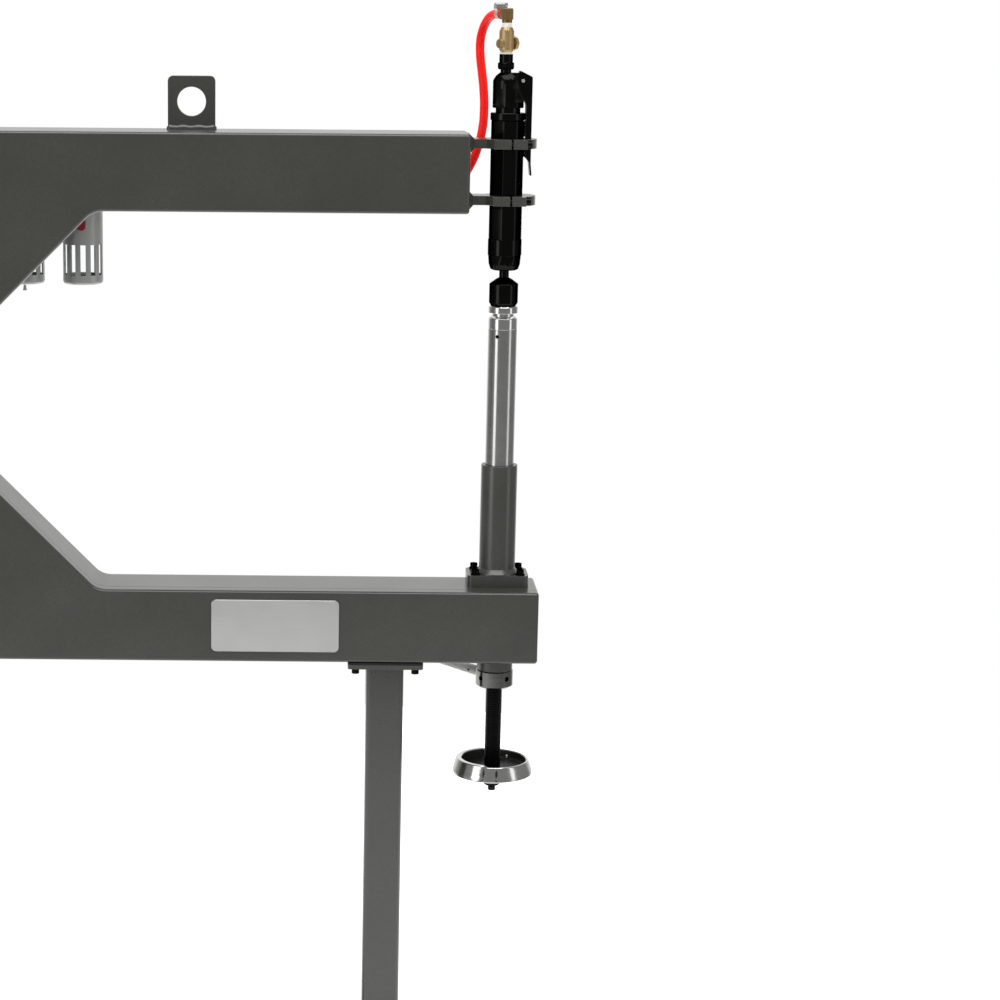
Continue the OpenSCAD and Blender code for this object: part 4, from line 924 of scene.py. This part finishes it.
def make_floor():
    """Pale disc that turns pure white away from the object, so that it keeps a shadow and has no horizon."""
    material, tree, surface = new_material("studio_floor")
    where = place(tree, "ShaderNodeTexCoord").outputs["Object"]
    tint = place(tree, "ShaderNodeTexNoise", {"Vector": where, "Scale": 0.6})
    shade = place(tree, "ShaderNodeMapRange", {"Value": tint.outputs["Fac"], "To Min": 0.78, "To Max": 0.82})
    tree.links.new(shade.outputs[0], surface.inputs["Base Color"])
    surface.inputs["Roughness"].default_value = 0.9
    surface.inputs["Specular IOR Level"].default_value = 0.1
    seen = place(tree, "ShaderNodeLightPath")
    depth = place(tree, "ShaderNodeSeparateXYZ", {0: where}).outputs["Y"]
    behind = place(tree, "ShaderNodeMapRange", {"Value": depth, "From Min": -0.8, "From Max": 0.4})
    mirrored = place(tree, "ShaderNodeMath",
                     {0: seen.outputs["Is Glossy Ray"], 1: behind.outputs[0]}, operation="MULTIPLY")
    either = place(tree, "ShaderNodeMath",
                   {0: seen.outputs["Is Camera Ray"], 1: mirrored.outputs[0]}, operation="MAXIMUM")
    shown = place(tree, "ShaderNodeMath",
                  {0: either.outputs[0], 1: seen.outputs["Is Transmission Ray"]}, operation="MAXIMUM")
    away = place(tree, "ShaderNodeVectorMath", {0: where}, operation="LENGTH")
    glow = place(tree, "ShaderNodeMapRange",
                 {"Value": away.outputs["Value"], "From Min": 0.6, "From Max": 1.7,
                  "To Min": 0.3, "To Max": 1.0})
    lift = place(tree, "ShaderNodeMath", {0: shown.outputs[0], 1: glow.outputs[0]}, operation="MULTIPLY")
    surface.inputs["Emission Color"].default_value = (1, 1, 1, 1)
    tree.links.new(lift.outputs[0], surface.inputs["Emission Strength"])
    form = bmesh.new()
    bmesh.ops.create_circle(form, cap_ends=True, segments=FLOOR_SIDES, radius=FLOOR_R)
    mesh = bpy.data.meshes.new("floor")
    form.to_mesh(mesh)
    form.free()
    mesh.materials.append(material)
    floor = bpy.data.objects.new("floor", mesh)
    bpy.context.scene.collection.objects.link(floor)


def make_world():
    """White behind the object and in the camera's sight, a dim room in front of it,
    and soft light from above."""
    world = bpy.data.worlds.new("studio")
    world.use_nodes = True
    tree = world.node_tree
    tree.nodes.clear()
    seen = place(tree, "ShaderNodeLightPath")
    way = place(tree, "ShaderNodeSeparateXYZ", {0: place(tree, "ShaderNodeTexCoord").outputs["Generated"]})
    soft = place(tree, "ShaderNodeMapRange",
                 {"Value": way.outputs["Z"], "From Min": -1.0, "From Max": 1.0,
                  "To Min": 0.38, "To Max": 1.15})
    room = place(tree, "ShaderNodeMapRange",
                 {"Value": way.outputs["Y"], "From Min": 0.55, "From Max": 0.92,
                  "To Min": 0.22, "To Max": 1.0})
    mirrored = place(tree, "ShaderNodeMix",
                     {"Factor": seen.outputs["Is Glossy Ray"], "A": soft.outputs[0], "B": room.outputs[0]})
    direct = place(tree, "ShaderNodeMath",
                   {0: seen.outputs["Is Camera Ray"], 1: seen.outputs["Is Transmission Ray"]},
                   operation="MAXIMUM")
    level = place(tree, "ShaderNodeMix",
                  {"Factor": direct.outputs[0], "A": mirrored.outputs["Result"], "B": 1.0})
    sky = place(tree, "ShaderNodeBackground", {"Color": (1, 1, 1, 1), "Strength": level.outputs["Result"]})
    output = tree.nodes.new("ShaderNodeOutputWorld")
    tree.links.new(sky.outputs[0], output.inputs["Surface"])
    bpy.context.scene.world = world


def make_lamp(name, bearing, rise, distance, size, power, target):
    """Soft box at a bearing from the view, left negative, that faces its target."""
    angle = math.radians(bearing)
    location = target + Vector((distance * math.sin(angle), -distance * math.cos(angle), rise))
    data = bpy.data.lights.new(name, "AREA")
    data.shape = "RECTANGLE"
    data.size, data.size_y = size
    data.energy = power
    lamp = bpy.data.objects.new(name, data)
    lamp.location = location
    lamp.rotation_euler = (target - location).to_track_quat("-Z", "Y").to_euler()
    lamp.visible_camera = False
    bpy.context.scene.collection.objects.link(lamp)


def make_lights():
    target = Vector((AXIS_X, 0, ARM_TOP)) + LIT_FROM_AXIS
    make_lamp("left_box", bearing=-50, rise=0.35, distance=3.2, size=(1.2, 2.6), power=19, target=target)
    make_lamp("right_box", bearing=63, rise=0.35, distance=3.2, size=(0.75, 2.6), power=7, target=target)
    make_lamp("overhead", bearing=0, rise=2.6, distance=0.6, size=(3.0, 2.2), power=66, target=target)


make_camera()
make_hose()
for node in nodes:
    if node not in MADE_APART:
        ease_edges(node)
bend_shell("front_shell", shell_low.y)
bend_shell("rear_shell", REAR_FACE)
make_eye_welds()
make_flange_weld()
make_stand_welds()
make_lift_screw()
make_handwheel()
make_wheel_bolt()
make_wheel_screw()
make_elbow()
make_lever_cheeks()
make_thread_tape()
make_gauge_face()
make_bare_plate()
make_floor()
make_world()
make_lights()
bpy.context.scene.view_settings.view_transform = "Standard"
